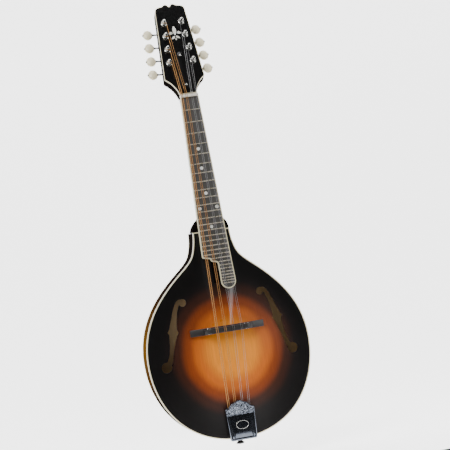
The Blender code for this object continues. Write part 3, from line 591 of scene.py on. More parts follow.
def face_out(work: bmesh.types.BMesh) -> None:
    """Turn a closed mesh's faces outwards."""
    bmesh.ops.recalc_face_normals(work, faces=work.faces)
    if work.calc_volume(signed=True) < 0:
        bmesh.ops.reverse_faces(work, faces=work.faces)


def curve_mesh(curve: Curve) -> Mesh:
    """Turn a curve into a mesh with welded caps.

    Args:
        curve: The curve data, which is removed.

    Returns:
        The mesh.
    """
    holder = bpy.data.objects.new("holder", curve)
    bpy.context.scene.collection.objects.link(holder)
    depsgraph = bpy.context.evaluated_depsgraph_get()
    mesh = bpy.data.meshes.new_from_object(holder.evaluated_get(depsgraph))
    bpy.data.objects.remove(holder, do_unlink=True)
    bpy.data.curves.remove(curve)
    work = bmesh.new()
    work.from_mesh(mesh)
    bmesh.ops.remove_doubles(work, verts=work.verts, dist=0.00001)
    face_out(work)
    work.to_mesh(mesh)
    work.free()
    return mesh


def joined(name: str, meshes: Iterable[Mesh]) -> Mesh:
    """Put several meshes together in one, side by side.

    Args:
        name: The new mesh's name.
        meshes: The meshes, already in place.

    Returns:
        The one mesh.
    """
    work = bmesh.new()
    for part in meshes:
        work.from_mesh(part)
    mesh = bpy.data.meshes.new(name)
    work.to_mesh(mesh)
    work.free()
    return mesh


def prism_mesh(loops: Sequence[Sequence[Point2]], thickness: float, rounding: float = 0.0) -> Mesh:
    """A flat outline with thickness, and rounded rims where asked.

    Args:
        loops: The outer loop and any holes, in millimetres.
        thickness: Full thickness along the outline's normal.
        rounding: Radius of the rims.

    Returns:
        The mesh, in the outline's own XY plane.
    """
    curve = bpy.data.curves.new("outline", "CURVE")
    curve.dimensions = "2D"
    curve.fill_mode = "BOTH"
    curve.extrude = (thickness / 2 - rounding) * MM
    curve.bevel_depth = rounding * MM
    curve.offset = -rounding * MM
    curve.bevel_resolution = 2
    for loop in loops:
        spline = curve.splines.new("POLY")
        spline.points.add(len(loop) - 1)
        for point, (across, along) in zip(spline.points, loop):
            point.co = (across * MM, along * MM, 0.0, 1.0)
        spline.use_cyclic_u = True
    return curve_mesh(curve)


def loft_mesh(rings: Sequence[Sequence[Point3]], caps: bool = True) -> Mesh:
    """A skin through rings of equal length.

    Args:
        rings: Closed rings of points in millimetres.
        caps: Whether the ends are closed.

    Returns:
        The mesh.
    """
    work = bmesh.new()
    rows = [[work.verts.new(Vector(point) * MM) for point in ring] for ring in rings]
    count = len(rows[0])
    for low, high in zip(rows, rows[1:]):
        for i in range(count):
            j = (i + 1) % count
            work.faces.new((low[i], low[j], high[j], high[i]))
    if caps:
        work.faces.new(rows[0])
        work.faces.new(rows[-1])
    face_out(work)
    mesh = bpy.data.meshes.new("loft")
    work.to_mesh(mesh)
    work.free()
    return mesh


def turned_mesh(profile: Sequence[Point2], segments: int = 40, squash: float = 1.0) -> Mesh:
    """A profile of radius and height turned about Z.

    Args:
        profile: Points from one end on the axis to the other, in millimetres.
        segments: Steps round the axis.
        squash: Scale of the X axis, for an oval turning.

    Returns:
        The mesh.
    """
    rings = []
    for radius, height in profile:
        wide = max(radius, 0.01)
        ring = []
        for i in range(segments):
            angle = 2.0 * math.pi * i / segments
            ring.append((wide * squash * math.cos(angle), wide * math.sin(angle), height))
        rings.append(ring)
    return loft_mesh(rings)


def wire_mesh(points: Sequence[Point3], radius: float, sides: int = 2) -> Mesh:
    """A round wire through points.

    Args:
        points: The path in millimetres.
        radius: The wire's radius.
        sides: Bevel resolution round it.

    Returns:
        The mesh.
    """
    curve = bpy.data.curves.new("wire", "CURVE")
    curve.dimensions = "3D"
    curve.bevel_depth = radius * MM
    curve.bevel_resolution = sides
    curve.use_fill_caps = True
    spline = curve.splines.new("POLY")
    spline.points.add(len(points) - 1)
    for target, point in zip(spline.points, points):
        target.co = (*(Vector(point) * MM), 1.0)
    return curve_mesh(curve)


def cut_mesh(mesh: Mesh, others: Sequence[Mesh], operation: str) -> Mesh:
    """Apply booleans to a mesh.

    Args:
        mesh: The mesh worked on.
        others: Meshes joined to it or cut from it, in the same frame.
        operation: UNION or DIFFERENCE.

    Returns:
        The result as a new mesh.
    """
    target = bpy.data.objects.new("target", mesh)
    bpy.context.scene.collection.objects.link(target)
    helpers = []
    for other in others:
        helper = bpy.data.objects.new("helper", other)
        bpy.context.scene.collection.objects.link(helper)
        helpers.append(helper)
        step = target.modifiers.new("step", "BOOLEAN")
        step.operation = operation
        step.object = helper
        step.solver = "EXACT"
    depsgraph = bpy.context.evaluated_depsgraph_get()
    result = bpy.data.meshes.new_from_object(target.evaluated_get(depsgraph))
    for holder in [target, *helpers]:
        bpy.data.objects.remove(holder, do_unlink=True)
    return result


def moved(mesh: Mesh, matrix: Matrix) -> Mesh:
    """Transform a mesh in place and hand it back."""
    mesh.transform(matrix)
    return mesh


def shift(x: float, y: float, z: float) -> Matrix:
    """A move in millimetres."""
    return Matrix.Translation((x * MM, y * MM, z * MM))


FACING = Matrix.Rotation(RIGHT, 4, "X")


def bezier(start: Point2, start_handle: Point2, end_handle: Point2, end: Point2, steps: int) -> list[Point2]:
    """Points along one curve, without the last one.

    Args:
        start: First point.
        start_handle: Its handle.
        end_handle: The last point's handle.
        end: Last point.
        steps: Number of points.

    Returns:
        The points.
    """
    knots = [Vector((*point, 0.0)) for point in (start, start_handle, end_handle, end)]
    return [(p.x, p.y) for p in interpolate_bezier(*knots, steps + 1)[:-1]]


def arc(centre: Point2, radius: float, start: float, end: float, steps: int) -> list[Point2]:
    """Points along an arc, both ends among them."""
    angles = [start + (end - start) * i / steps for i in range(steps + 1)]
    return [(centre[0] + radius * math.cos(a), centre[1] + radius * math.sin(a)) for a in angles]


def mirrored(half: Sequence[Point2]) -> list[Point2]:
    """Close an outline from its +X half, given from top to bottom."""
    return list(half) + [(-x, z) for x, z in reversed(half) if x > 0.001]


def inset(loop: Sequence[Point2], distance: float) -> list[Point2]:
    """Move a closed outline inwards by a distance, with mitred corners.

    Args:
        loop: The outline.
        distance: How far inwards, or outwards where negative.

    Returns:
        The moved outline.
    """
    count = len(loop)
    area = sum(loop[i - 1][0] * loop[i][1] - loop[i][0] * loop[i - 1][1] for i in range(count))
    turn = 1.0 if area > 0 else -1.0
    result = []
    for i in range(count):
        here = Vector(loop[i])
        before = (here - Vector(loop[i - 1])).normalized()
        after = (Vector(loop[(i + 1) % count]) - here).normalized()
        normals = [Vector((-d.y, d.x)) * turn for d in (before, after)]
        mitre = (normals[0] + normals[1]) / (1.0 + normals[0].dot(normals[1]))
        result.append(tuple(here + mitre * distance))
    return result


def catmull(a: Any, b: Any, c: Any, d: Any, t: float) -> Any:
    """The place a share t of the way from b to c on a smooth curve through a, b, c and d."""
    return 0.5 * ((2 * b) + (c - a) * t + (2 * a - 5 * b + 4 * c - d) * t**2 + (3 * b - a - 3 * c + d) * t**3)


def smooth_path(points: Sequence[Point2], steps: int) -> list[Point2]:
    """Points on a smooth closed curve through a few given ones.

    Args:
        points: The points the curve passes through.
        steps: Points made for each of them.

    Returns:
        The closed curve's points.
    """
    result = []
    count = len(points)
    for i in range(count):
        a, b, c, d = (Vector(points[(i + k) % count]) for k in (-1, 0, 1, 2))
        for step in range(steps):
            t = step / steps
            result.append(tuple(catmull(a, b, c, d, t)))
    return result


# --------------------------------------------------------------------------------------------------
# Soundbox
# --------------------------------------------------------------------------------------------------


@dataclass
class Soundbox:
    """Top and back plates, ribs and bindings, all from one outline."""

    top: float = -205.0
    tail: float = -520.0
    widest_at: float = -388.0
    half: float = 124.5
    shoulder: float = 28.0
    nose_reach: float = 16.0
    nose_band: float = 4.0
    rib_front: float = -14.5
    rib_depth: float = 38.5
    rib_wall: float = 2.2
    edge: float = 4.5
    middle: float = 4.0
    top_arch: float = 12.7
    back_arch: float = 12.0
    arch_centre: float = -385.0
    binding: float = 1.6
    gap: float = 0.3
    ring_count: int = 34
    steps: int = 22
    outline: list[Point2] = field(default_factory=list)

    def __post_init__(self) -> None:
        """Work the outline out once."""
        self.outline = mirrored(self.half_outline())

    def half_outline(self) -> list[Point2]:
        """The treble half of the outline, from the shoulder to the tail."""
        waist = (self.shoulder + 5.5, self.top - 32)
        flare = (self.shoulder + 31, self.top - 60)
        widest = (self.half, self.widest_at)
        tail = (0.0, self.tail)
        start = (self.shoulder, self.top)
        line = bezier(start, (self.shoulder, self.top - 12), (waist[0] - 3.5, waist[1] + 10), waist, 10)
        line += bezier(waist, (waist[0] + 4, waist[1] - 11), (flare[0] - 9, flare[1] + 8), flare, 12)
        line += bezier(
            flare, (flare[0] + 35, flare[1] - 30), (self.half, self.widest_at + 56), widest, self.steps,
        )
        reach = self.widest_at - self.tail
        low = (self.half, self.widest_at - reach * 0.58)
        return line + bezier(widest, low, (self.half * 0.6, self.tail), tail, self.steps + 4) + [tail]

    def swell(self, share: float, height: float) -> float:
        """Height of a plate above its edge, at a share of the way from its centre."""
        reach = min(1.0, share / 0.97)
        return height * (1.0 + math.cos(math.pi * reach)) / 2

    def plate_mesh(self, near: float, outward: float, height: float) -> Mesh:
        """An arched plate with a softly rounded rim.

        Args:
            near: Y of the plate's edge on the rib side.
            outward: -1 for the top, 1 for the back.
            height: The arch's rise.

        Returns:
            The plate, closed.
        """
        rim = inset(self.outline, self.binding + 0.05)
        edge = rim[0][0]
        rim = [(edge * (i / 7 - 1), rim[0][1]) for i in range(1, 14)] + rim
        shares = [0.02 + 0.98 * i / self.ring_count for i in range(self.ring_count + 1)]
        rings = []
        for share in shares:
            level = near + outward * (self.edge + self.swell(share, height))
            rings.append([(x * share, level, self.along(z, share) + self.nose(x, z, share)) for x, z in rim])
        for share in reversed(shares[::3] + [1.0]):
            thin = self.edge + (self.middle - self.edge) * (1.0 - share)
            level = near + outward * (self.edge + self.swell(share, height) - thin)
            rings.append([(x * share, level, self.along(z, share) + self.nose(x, z, share)) for x, z in rim])
        return loft_mesh(rings)

    def nose(self, x: float, z: float, share: float) -> float:
        """How far the arch's contours bulge towards the neck, where the outline is cut off square."""
        if z < self.top - self.nose_band:
            return 0.0
        return self.nose_reach * (1.0 - (x / self.shoulder) ** 2) * min(1.0, (1.0 - share) * 4.0) * share

    def along(self, z: float, share: float) -> float:
        """Z of an outline point drawn in towards the arch's centre."""
        return self.arch_centre + (z - self.arch_centre) * share

    def edge_distance(self, direction: Vector) -> float:
        """How far the outline lies from the arch's centre along a direction."""
        best = 0.0
        for i, point in enumerate(self.outline):
            a = Vector((point[0], point[1] - self.arch_centre))
            b = Vector((self.outline[i - 1][0], self.outline[i - 1][1] - self.arch_centre))
            span = b - a
            denominator = direction.x * span.y - direction.y * span.x
            if abs(denominator) < 1e-9:
                continue
            along = (a.x * span.y - a.y * span.x) / denominator
            share = (a.x * direction.y - a.y * direction.x) / denominator
            if along > 0 and -1e-6 <= share <= 1 + 1e-6:
                best = max(best, along)
        return best

    def face_at(self, x: float, z: float) -> float:
        """Y of the top plate's face at a place."""
        spot = Vector((x, z - self.arch_centre))
        share = spot.length / self.edge_distance(spot.normalized()) if spot.length > 0.01 else 0.0
        return self.rib_front - self.edge - self.swell(share, self.top_arch)

    def f_hole_meshes(self, side: Side) -> list[Mesh]:
        """The cutters of one f-hole: a slender nicked stem and two eyes.

        Args:
            side: Which of the two.

        Returns:
            Three closed meshes.
        """
        stem = [(61.5, -300.6), (66.5, -301.2), (71.5, -306.5), (77.8, -321.0), (85.0, -341.0)]
        nick = [(88.4, -346.6), (86.6, -352.4)]
        lower = [
            (90.2, -378.0), (94.4, -388.4), (98.0, -393.0), (93.0, -398.0), (88.0, -393.5),
            (84.8, -382.5),
        ]
        inner = [(75.4, -354.5)]
        back_nick = [(72.0, -349.2), (73.4, -343.2)]
        upper = [(70.0, -322.0), (65.6, -309.8), (62.5, -306.0), (60.0, -304.0)]
        loop = []
        for run in (stem, nick, lower, inner, back_nick, upper):
            loop += run
        fine = self.soften(loop, 4)
        cutters = [prism_mesh([[(x * side.value, z) for x, z in fine]], 60)]
        for centre, radius in (((59.6, -306.0), 5.7), ((97.0, -398.0), 8.0)):
            eye = arc((centre[0] * side.value, centre[1]), radius, 0.0, 2 * math.pi * 47 / 48, 47)
            cutters.append(prism_mesh([eye], 60))
        return [moved(cutter, shift(0, -25, 0) @ FACING) for cutter in cutters]

    def soften(self, loop: Sequence[Point2], steps: int) -> list[Point2]:
        """A smooth closed curve through an outline whose sharp nicks stay sharp."""
        result = []
        count = len(loop)
        for i in range(count):
            here, after = Vector(loop[i]), Vector(loop[(i + 1) % count])
            before, later = Vector(loop[i - 1]), Vector(loop[(i + 2) % count])
            into = (after - before).normalized() if (here - before).angle(after - here) < 0.7 else None
            out = (later - here).normalized() if (after - here).angle(later - after) < 0.7 else None
            span = (after - here).length / 3
            first = here + into * span if into else here + (after - here) / 3
            second = after - out * span if out else after - (after - here) / 3
            result += bezier(tuple(here), tuple(first), tuple(second), tuple(after), steps)
        return result

    def band(self, distance: float, depth: float, y_low: float, y_high: float, rounding: float) -> Mesh:
        """A closed band that follows the outline."""
        loops = [inset(self.outline, distance), inset(self.outline, distance + depth)]
        mesh = prism_mesh(loops, y_high - y_low, rounding)
        return moved(mesh, shift(0, (y_low + y_high) / 2, 0) @ FACING)

    def rib_mesh(self, side: Side) -> Mesh:
        """One side's bent rib, from the shoulder to the seam at the tail.

        Args:
            side: Which of the two.

        Returns:
            The rib, closed.
        """
        outer = self.half_outline()
        outer[0] = (outer[0][0], self.top - self.gap)
        outer[-1] = (0.25, outer[-1][1])
        whole = inset(self.outline, self.rib_wall)
        inner = whole[: len(outer)]
        inner[0] = (inner[0][0], self.top - self.gap)
        inner[-1] = (0.25, inner[-1][1])
        loop = [(x * side.value, z) for x, z in outer + list(reversed(inner))]
        mesh = prism_mesh([loop], self.rib_depth)
        return moved(mesh, shift(0, self.rib_front + self.rib_depth / 2, 0) @ FACING)

    def build(self) -> None:
        """Make and dress the soundbox's visible pieces."""
        back = self.rib_front + self.rib_depth
        cutters = [mesh for side in Side for mesh in self.f_hole_meshes(side)]
        plate = self.plate_mesh(self.rib_front - self.gap, -1.0, self.top_arch)
        top = cut_mesh(plate, cutters, "DIFFERENCE")
        add_piece("carved_top", top, "top", stands_for=["top_plate"], angle=50)
        rear = self.plate_mesh(back + self.gap, 1.0, self.back_arch)
        plate = add_piece("carved_back", rear, "back", stands_for=["back_plate"], angle=50)
        plate.data.materials.append(PAINTS.get("inside"))
        for face in plate.data.polygons:
            face.material_index = 1 if face.normal.y < -0.3 else 0
        front_low = self.rib_front - self.gap - self.edge
        rim = self.band(0.0, self.binding, front_low, self.rib_front - self.gap, 0.4)
        add_piece("top_edge_binding", rim, "binding", stands_for=["top_binding"])
        rim = self.band(0.0, self.binding, back + self.gap, back + self.gap + self.edge, 0.4)
        add_piece("back_edge_binding", rim, "binding", stands_for=["back_binding"])
        for side in Side:
            add_piece("rib_" + side.label, self.rib_mesh(side), "sides", stands_for=["side_" + side.label])
        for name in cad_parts:
            if name.startswith(("lining_", "tone_bar_")) or name in ("neck_block", "tail_block"):
                PAINTS.wear(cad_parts[name], "bare")


# --------------------------------------------------------------------------------------------------
# Neck, fingerboard and headstock
# --------------------------------------------------------------------------------------------------


@dataclass
class Tilted:
    """A frame tilted back about X, for the neck and for the headstock."""

    y: float
    z: float
    tilt: float

    def matrix(self) -> Matrix:
        """The frame's place in the row frame."""
        return shift(0, self.y, self.z) @ Matrix.Rotation(-self.tilt, 4, "X")

    def point(self, x: float, depth: float, along: float) -> Point3:
        """A point of this frame in the row frame, in millimetres."""
        y = self.y + along * math.sin(self.tilt) + depth * math.cos(self.tilt)
        z = self.z + along * math.cos(self.tilt) - depth * math.sin(self.tilt)
        return (x, y, z)

    def slab(self, loops: Sequence[Sequence[Point2]], low: float, high: float, rounding: float = 0.0) -> Mesh:
        """An outline given thickness between two depths of this frame.

        Args:
            loops: The outer loop and any holes.
            low: Nearest depth.
            high: Furthest depth.
            rounding: Radius of the rims.

        Returns:
            The mesh in the row frame.
        """
        mesh = prism_mesh(loops, high - low, rounding)
        return moved(mesh, self.matrix() @ shift(0, (low + high) / 2, 0) @ FACING)


NECK = Tilted(-10.7, -1.0, math.radians(5.58))
HEAD = Tilted(-6.7, -1.0, math.radians(20.1))


@dataclass
class Fingerboard:
    """The bound board with its frets, dots and nut."""

    scale: float = 352.4
    half_nut: float = 14.0
    spread: float = 0.0308
    thick: float = 5.0
    binding: float = 1.3
    bass_end: float = -245.6
    step_end: float = -253.9
    treble_end: float = -294.9
    frets: int = 29
    fret_tall: float = 1.0
    fret_wide: float = 1.5
    dot_radius: float = 2.6
    dots: tuple[int, ...] = (5, 7, 10, 15)
    twin_dot: int = 12
    twin_spread: float = 13.1

    def half(self, u: float) -> float:
        """Half the board's width at a distance along it."""
        return self.half_nut - self.spread * u

    def fret_at(self, number: float) -> float:
        """Distance of a fret from the nut."""
        return self.scale * (1.0 - 2.0 ** (-number / 12.0))

    def outline(self) -> list[Point2]:
        """The board's edge: a stepped bass end and a rounded treble extension."""
        bass = self.half(self.bass_end)
        treble = self.half(self.treble_end + 11.0)
        centre = (treble - 11.0, self.treble_end + 11.0)
        loop = [(-self.half(0.0), -0.3), (-self.half(self.bass_end + 3.5), self.bass_end + 3.5)]
        loop += arc((-bass + 3.2, self.bass_end + 3.2), 3.2, math.pi * 1.02, math.pi * 1.45, 6)
        step = (-10.6, self.bass_end - 1.6)
        loop += bezier(step, (-9.4, step[1] - 0.4), (-9.6, step[1] - 4.2), (-7.4, self.bass_end - 6.4), 6)
        loop += [(-7.4, self.bass_end - 6.4)]
        turn = (-1.8, self.step_end + 0.8)
        loop += bezier(
            turn, (-0.4, turn[1] - 0.5), (centre[0] - 11.0, turn[1] - 1.5),
            (centre[0] - 11.0, turn[1] - 6), 6,
        )
        loop += arc(centre, 11.0, math.pi, math.pi * 2, 28)
        return loop + [(self.half(0.0), -0.3)]

    def inner(self) -> list[Point2]:
        """The board's wood inside its binding."""
        return [(x, min(u, -0.3)) for x, u in inset(self.outline(), self.binding)]

    def span_at(self, u: float) -> tuple[float, float]:
        """The left and right ends of a fret at a distance along the board."""
        loop = inset(self.outline(), self.binding + 0.05)
        hits = []
        for i, (x, z) in enumerate(loop):
            before = loop[i - 1]
            if (z - u) * (before[1] - u) < 0:
                hits.append(x + (before[0] - x) * (u - z) / (before[1] - z))
        return min(hits), max(hits)

    def fret_tree(self, wire: Object, material: Material) -> GeometryNodeTree:
        """A tree that lays a fret across the board at each point, as long as the point says.

        Args:
            wire: One fret of unit length along X.
            material: The frets' finish.

        Returns:
            The node tree.
        """
        tree = bpy.data.node_groups.new("fret_layer", "GeometryNodeTree")
        face = tree.interface
        face.new_socket("Geometry", in_out="INPUT", socket_type="NodeSocketGeometry")
        height = face.new_socket("Height", in_out="INPUT", socket_type="NodeSocketFloat")
        height.default_value = 1.0
        face.new_socket("Geometry", in_out="OUTPUT", socket_type="NodeSocketGeometry")
        start = add_node(tree, "NodeGroupInput")
        end = add_node(tree, "NodeGroupOutput")
        source = add_node(tree, "GeometryNodeObjectInfo")
        source.inputs["Object"].default_value = wire
        length = add_node(tree, "GeometryNodeInputNamedAttribute", data_type="FLOAT", i0="length")
        stretch = add_node(
            tree, "ShaderNodeCombineXYZ", i0=length.outputs[0], i1=1.0, i2=start.outputs["Height"],
        )
        laid = add_node(tree, "GeometryNodeInstanceOnPoints", i0=start.outputs["Geometry"])
        tree.links.new(source.outputs["Geometry"], laid.inputs["Instance"])
        tree.links.new(stretch.outputs[0], laid.inputs["Scale"])
        solid = add_node(tree, "GeometryNodeRealizeInstances", i0=laid.outputs[0])
        finish = add_node(tree, "GeometryNodeSetMaterial", i0=solid.outputs[0])
        finish.inputs["Material"].default_value = material
        tree.links.new(finish.outputs[0], end.inputs[0])
        return tree

    def fret_mesh(self) -> Mesh:
        """All the frets as one mesh in the row frame."""
        crown = [(0.5 * self.fret_wide * math.cos(a), self.fret_tall * math.sin(a)) for a in self.crown_angles()]
        rings = []
        for x, share in ((-0.5, 0.3), (-0.485, 1.0), (0.485, 1.0), (0.5, 0.3)):
            rings.append([(x * 1000, y * 1.0, z * share) for y, z in crown + [(-0.5, -0.3), (0.5, -0.3)]])
        bar = loft_mesh(rings)
        wire = bpy.data.objects.new("fret_wire_source", bar)
        points = bpy.data.meshes.new("fret_places")
        spans = [(-self.fret_at(n), *self.span_at(-self.fret_at(n))) for n in range(1, self.frets + 1)]
        points.from_pydata([((low + high) / 2 * MM, u * MM, 0.0) for u, low, high in spans], [], [])
        length = points.attributes.new("length", "FLOAT", "POINT")
        for item, (_, low, high) in zip(length.data, spans):
            item.value = (high - low) / 1000
        holder = bpy.data.objects.new("fret_places", points)
        bpy.context.scene.collection.objects.link(holder)
        layer = holder.modifiers.new("frets", "NODES")
        layer.node_group = self.fret_tree(wire, PAINTS.get("fret"))
        socket = next(s for s in layer.node_group.interface.items_tree if s.name == "Height")
        layer[socket.identifier] = 1.0
        depsgraph = bpy.context.evaluated_depsgraph_get()
        mesh = bpy.data.meshes.new_from_object(holder.evaluated_get(depsgraph))
        holder.modifiers.remove(layer)
        bpy.data.objects.remove(holder, do_unlink=True)
        bpy.data.objects.remove(wire, do_unlink=True)
        return moved(mesh, NECK.matrix() @ FACING)

    def crown_angles(self) -> list[float]:
        """Angles across a fret's rounded crown."""
        return [math.pi * i / 8 for i in range(9)]

    def dot_mesh(self) -> Mesh:
        """All the position dots as one mesh in the row frame."""
        spots = [(0.0, self.between(n)) for n in self.dots]
        spots += [(side.value * self.twin_spread, self.between(self.twin_dot)) for side in Side]
        profile = [(0.0, 0.06), (self.dot_radius - 0.2, 0.06), (self.dot_radius, 0.0), (0.0, -0.3)]
        discs = [moved(turned_mesh(profile, 32), NECK.matrix() @ shift(x, 0, u) @ FACING) for x, u in spots]
        return joined("dots", discs)

    def between(self, number: int) -> float:
        """The middle of the space behind a fret, as a distance along the board."""
        return -(self.fret_at(number) + self.fret_at(number - 1)) / 2

    def build(self) -> None:
        """Make and dress the board, its binding, frets and dots."""
        wood = NECK.slab([self.inner()], 0.0, self.thick, 0.15)
        add_piece("board_wood", wood, "fingerboard", stands_for=["fingerboard"])
        edge = self.outline()
        inner = [(x, u + 3.0) if u > -4.0 else (x, u) for x, u in inset(edge, self.binding)]
        band = NECK.slab([edge], -0.02, self.thick + 0.1)
        core = NECK.slab([inner], -9.0, self.thick + 9.0)
        add_piece(
            "board_binding", cut_mesh(band, [core], "DIFFERENCE"), "binding",
            stands_for=["fingerboard_binding"],
        )
        add_piece("frets", self.fret_mesh(), "fret")
        add_piece("position_dots", self.dot_mesh(), "pearl")
        PAINTS.wear(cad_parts["nut"], "nut")


@dataclass
class NeckWood:
    """The neck, its heel, the riser under the board's extension and the headstock's wood, as separate pieces."""

    board: Fingerboard
    box: Soundbox
    head_thick: float = 15.5
    overlay: float = 2.0
    gap: float = 0.3

    def section(
        self, place: Callable[[float, float], Point3], half: float, front: float, depth: float, power: float
    ) -> list[Point3]:
        """A flat front and a rounded back.

        Args:
            place: Turns across and depth into a point in the row frame.
            half: Half the width.
            front: Depth of the flat.
            depth: Thickness behind the flat.
            power: Squareness; small is square.

        Returns:
            The ring's points.
        """
        ring = []
        for i in range(37):
            angle = math.pi * i / 36
            across, down = math.cos(angle), math.sin(angle)
            x = math.copysign(abs(across) ** power, across) * half
            ring.append(place(x, front + depth * down**power))
        return ring

    def blend(self, rows: Sequence[tuple[float, ...]], place: float) -> tuple[float, ...]:
        """Sizes between given rows, eased smoothly along their first value."""
        for low, high in zip(rows, rows[1:]):
            if high[0] <= place <= low[0]:
                share = (low[0] - place) / (low[0] - high[0])
                return tuple(a + (b - a) * share for a, b in zip(low, high))
        return tuple(rows[-1])

    def shaft(self) -> Mesh:
        """The neck under the fingerboard."""
        rows = ((4.0, 13.5), (-6.0, 15.5), (-100.0, 17.0), (-180.0, 18.5), (-198.0, 19.5))
        front = self.board.thick + self.gap
        rings = []
        for i in range(33):
            u = 4.0 - 202.0 * i / 32
            depth = self.blend(rows, u)[1]
            half = self.board.half(u) - 0.2
            rings.append(self.section(lambda x, d, u=u: NECK.point(x, d, u), half, front, depth, 0.8))
        return loft_mesh(rings)

    def heel(self) -> Mesh:
        """The heel and its rounded shoulders."""
        level = self.box.rib_front - self.gap - self.box.edge
        back = self.box.rib_front + self.box.rib_depth
        rows = (
            (-166.0, 14.0, -7.0, 0.8),
            (-178.0, 16.5, -2.0, 0.75),
            (-186.5, 19.0, 5.0, 0.7),
            (-190.0, 22.5, 9.0, 0.6),
            (-194.0, 25.3, 14.0, 0.5),
            (-199.0, 27.2, 20.0, 0.4),
            (self.box.top + self.gap, self.box.shoulder, back, 0.3),
        )
        rings = []
        for i in range(41):
            z = rows[0][0] + (rows[-1][0] - rows[0][0]) * i / 40
            _, half, bottom, power = self.eased(rows, z)
            rings.append(self.section(lambda x, d, z=z: (x, d, z), half, level, bottom - level, power))
        return loft_mesh(rings)

    def eased(self, rows: Sequence[tuple[float, ...]], place: float) -> tuple[float, ...]:
        """A smooth curve through rows of sizes, read at one place."""
        for i in range(len(rows) - 1):
            low, high = rows[i], rows[i + 1]
            if high[0] - 1e-6 <= place <= low[0] + 1e-6:
                t = (low[0] - place) / (low[0] - high[0])
                before, after = rows[max(i - 1, 0)], rows[min(i + 2, len(rows) - 1)]
                return tuple(catmull(a, b, c, d, t) for a, b, c, d in zip(before, low, high, after))
        return tuple(rows[-1])

    def riser(self) -> Mesh:
        """The wedge under the fingerboard's extension."""
        slope = math.tan(NECK.tilt)
        under = NECK.y + (self.board.thick + self.gap) / math.cos(NECK.tilt)
        start, end = self.box.top + 4.0, -284.0
        side = [(under + (z - NECK.z) * slope, z) for z in (start, end)]
        low = [(-27.2, end), (-25.0, -262.0), (-22.4, -238.0), (-20.7, self.box.top - 1.0), (-18.7, start)]
        mesh = prism_mesh([side + low], 24.0)
        turn = Matrix.Rotation(RIGHT, 4, "Z") @ Matrix.Rotation(RIGHT, 4, "X")
        return moved(mesh, shift(4.0, 0, 0) @ turn)

    def build(self, head_outline: Sequence[Point2]) -> None:
        """Make the neck's parts as separate pieces and dress each.

        Args:
            head_outline: The headstock's edge.
        """
        front = self.overlay + self.gap
        slab = HEAD.slab([inset(head_outline, 0.1)], front, front + self.head_thick)
        scarf = HEAD.slab([[(-12.8, -7.0), (12.8, -7.0), (12.8, 9.0), (-12.8, 9.0)]], 3.6, 14.5, 0.8)
        parts = {
            "shaft": self.shaft(), "heel": self.heel(), "riser": self.riser(), "head": slab,
            "scarf": scarf,
        }
        for name, mesh in parts.items():
            add_piece("neck_" + name, mesh, "neck", stands_for=["neck"], angle=40)


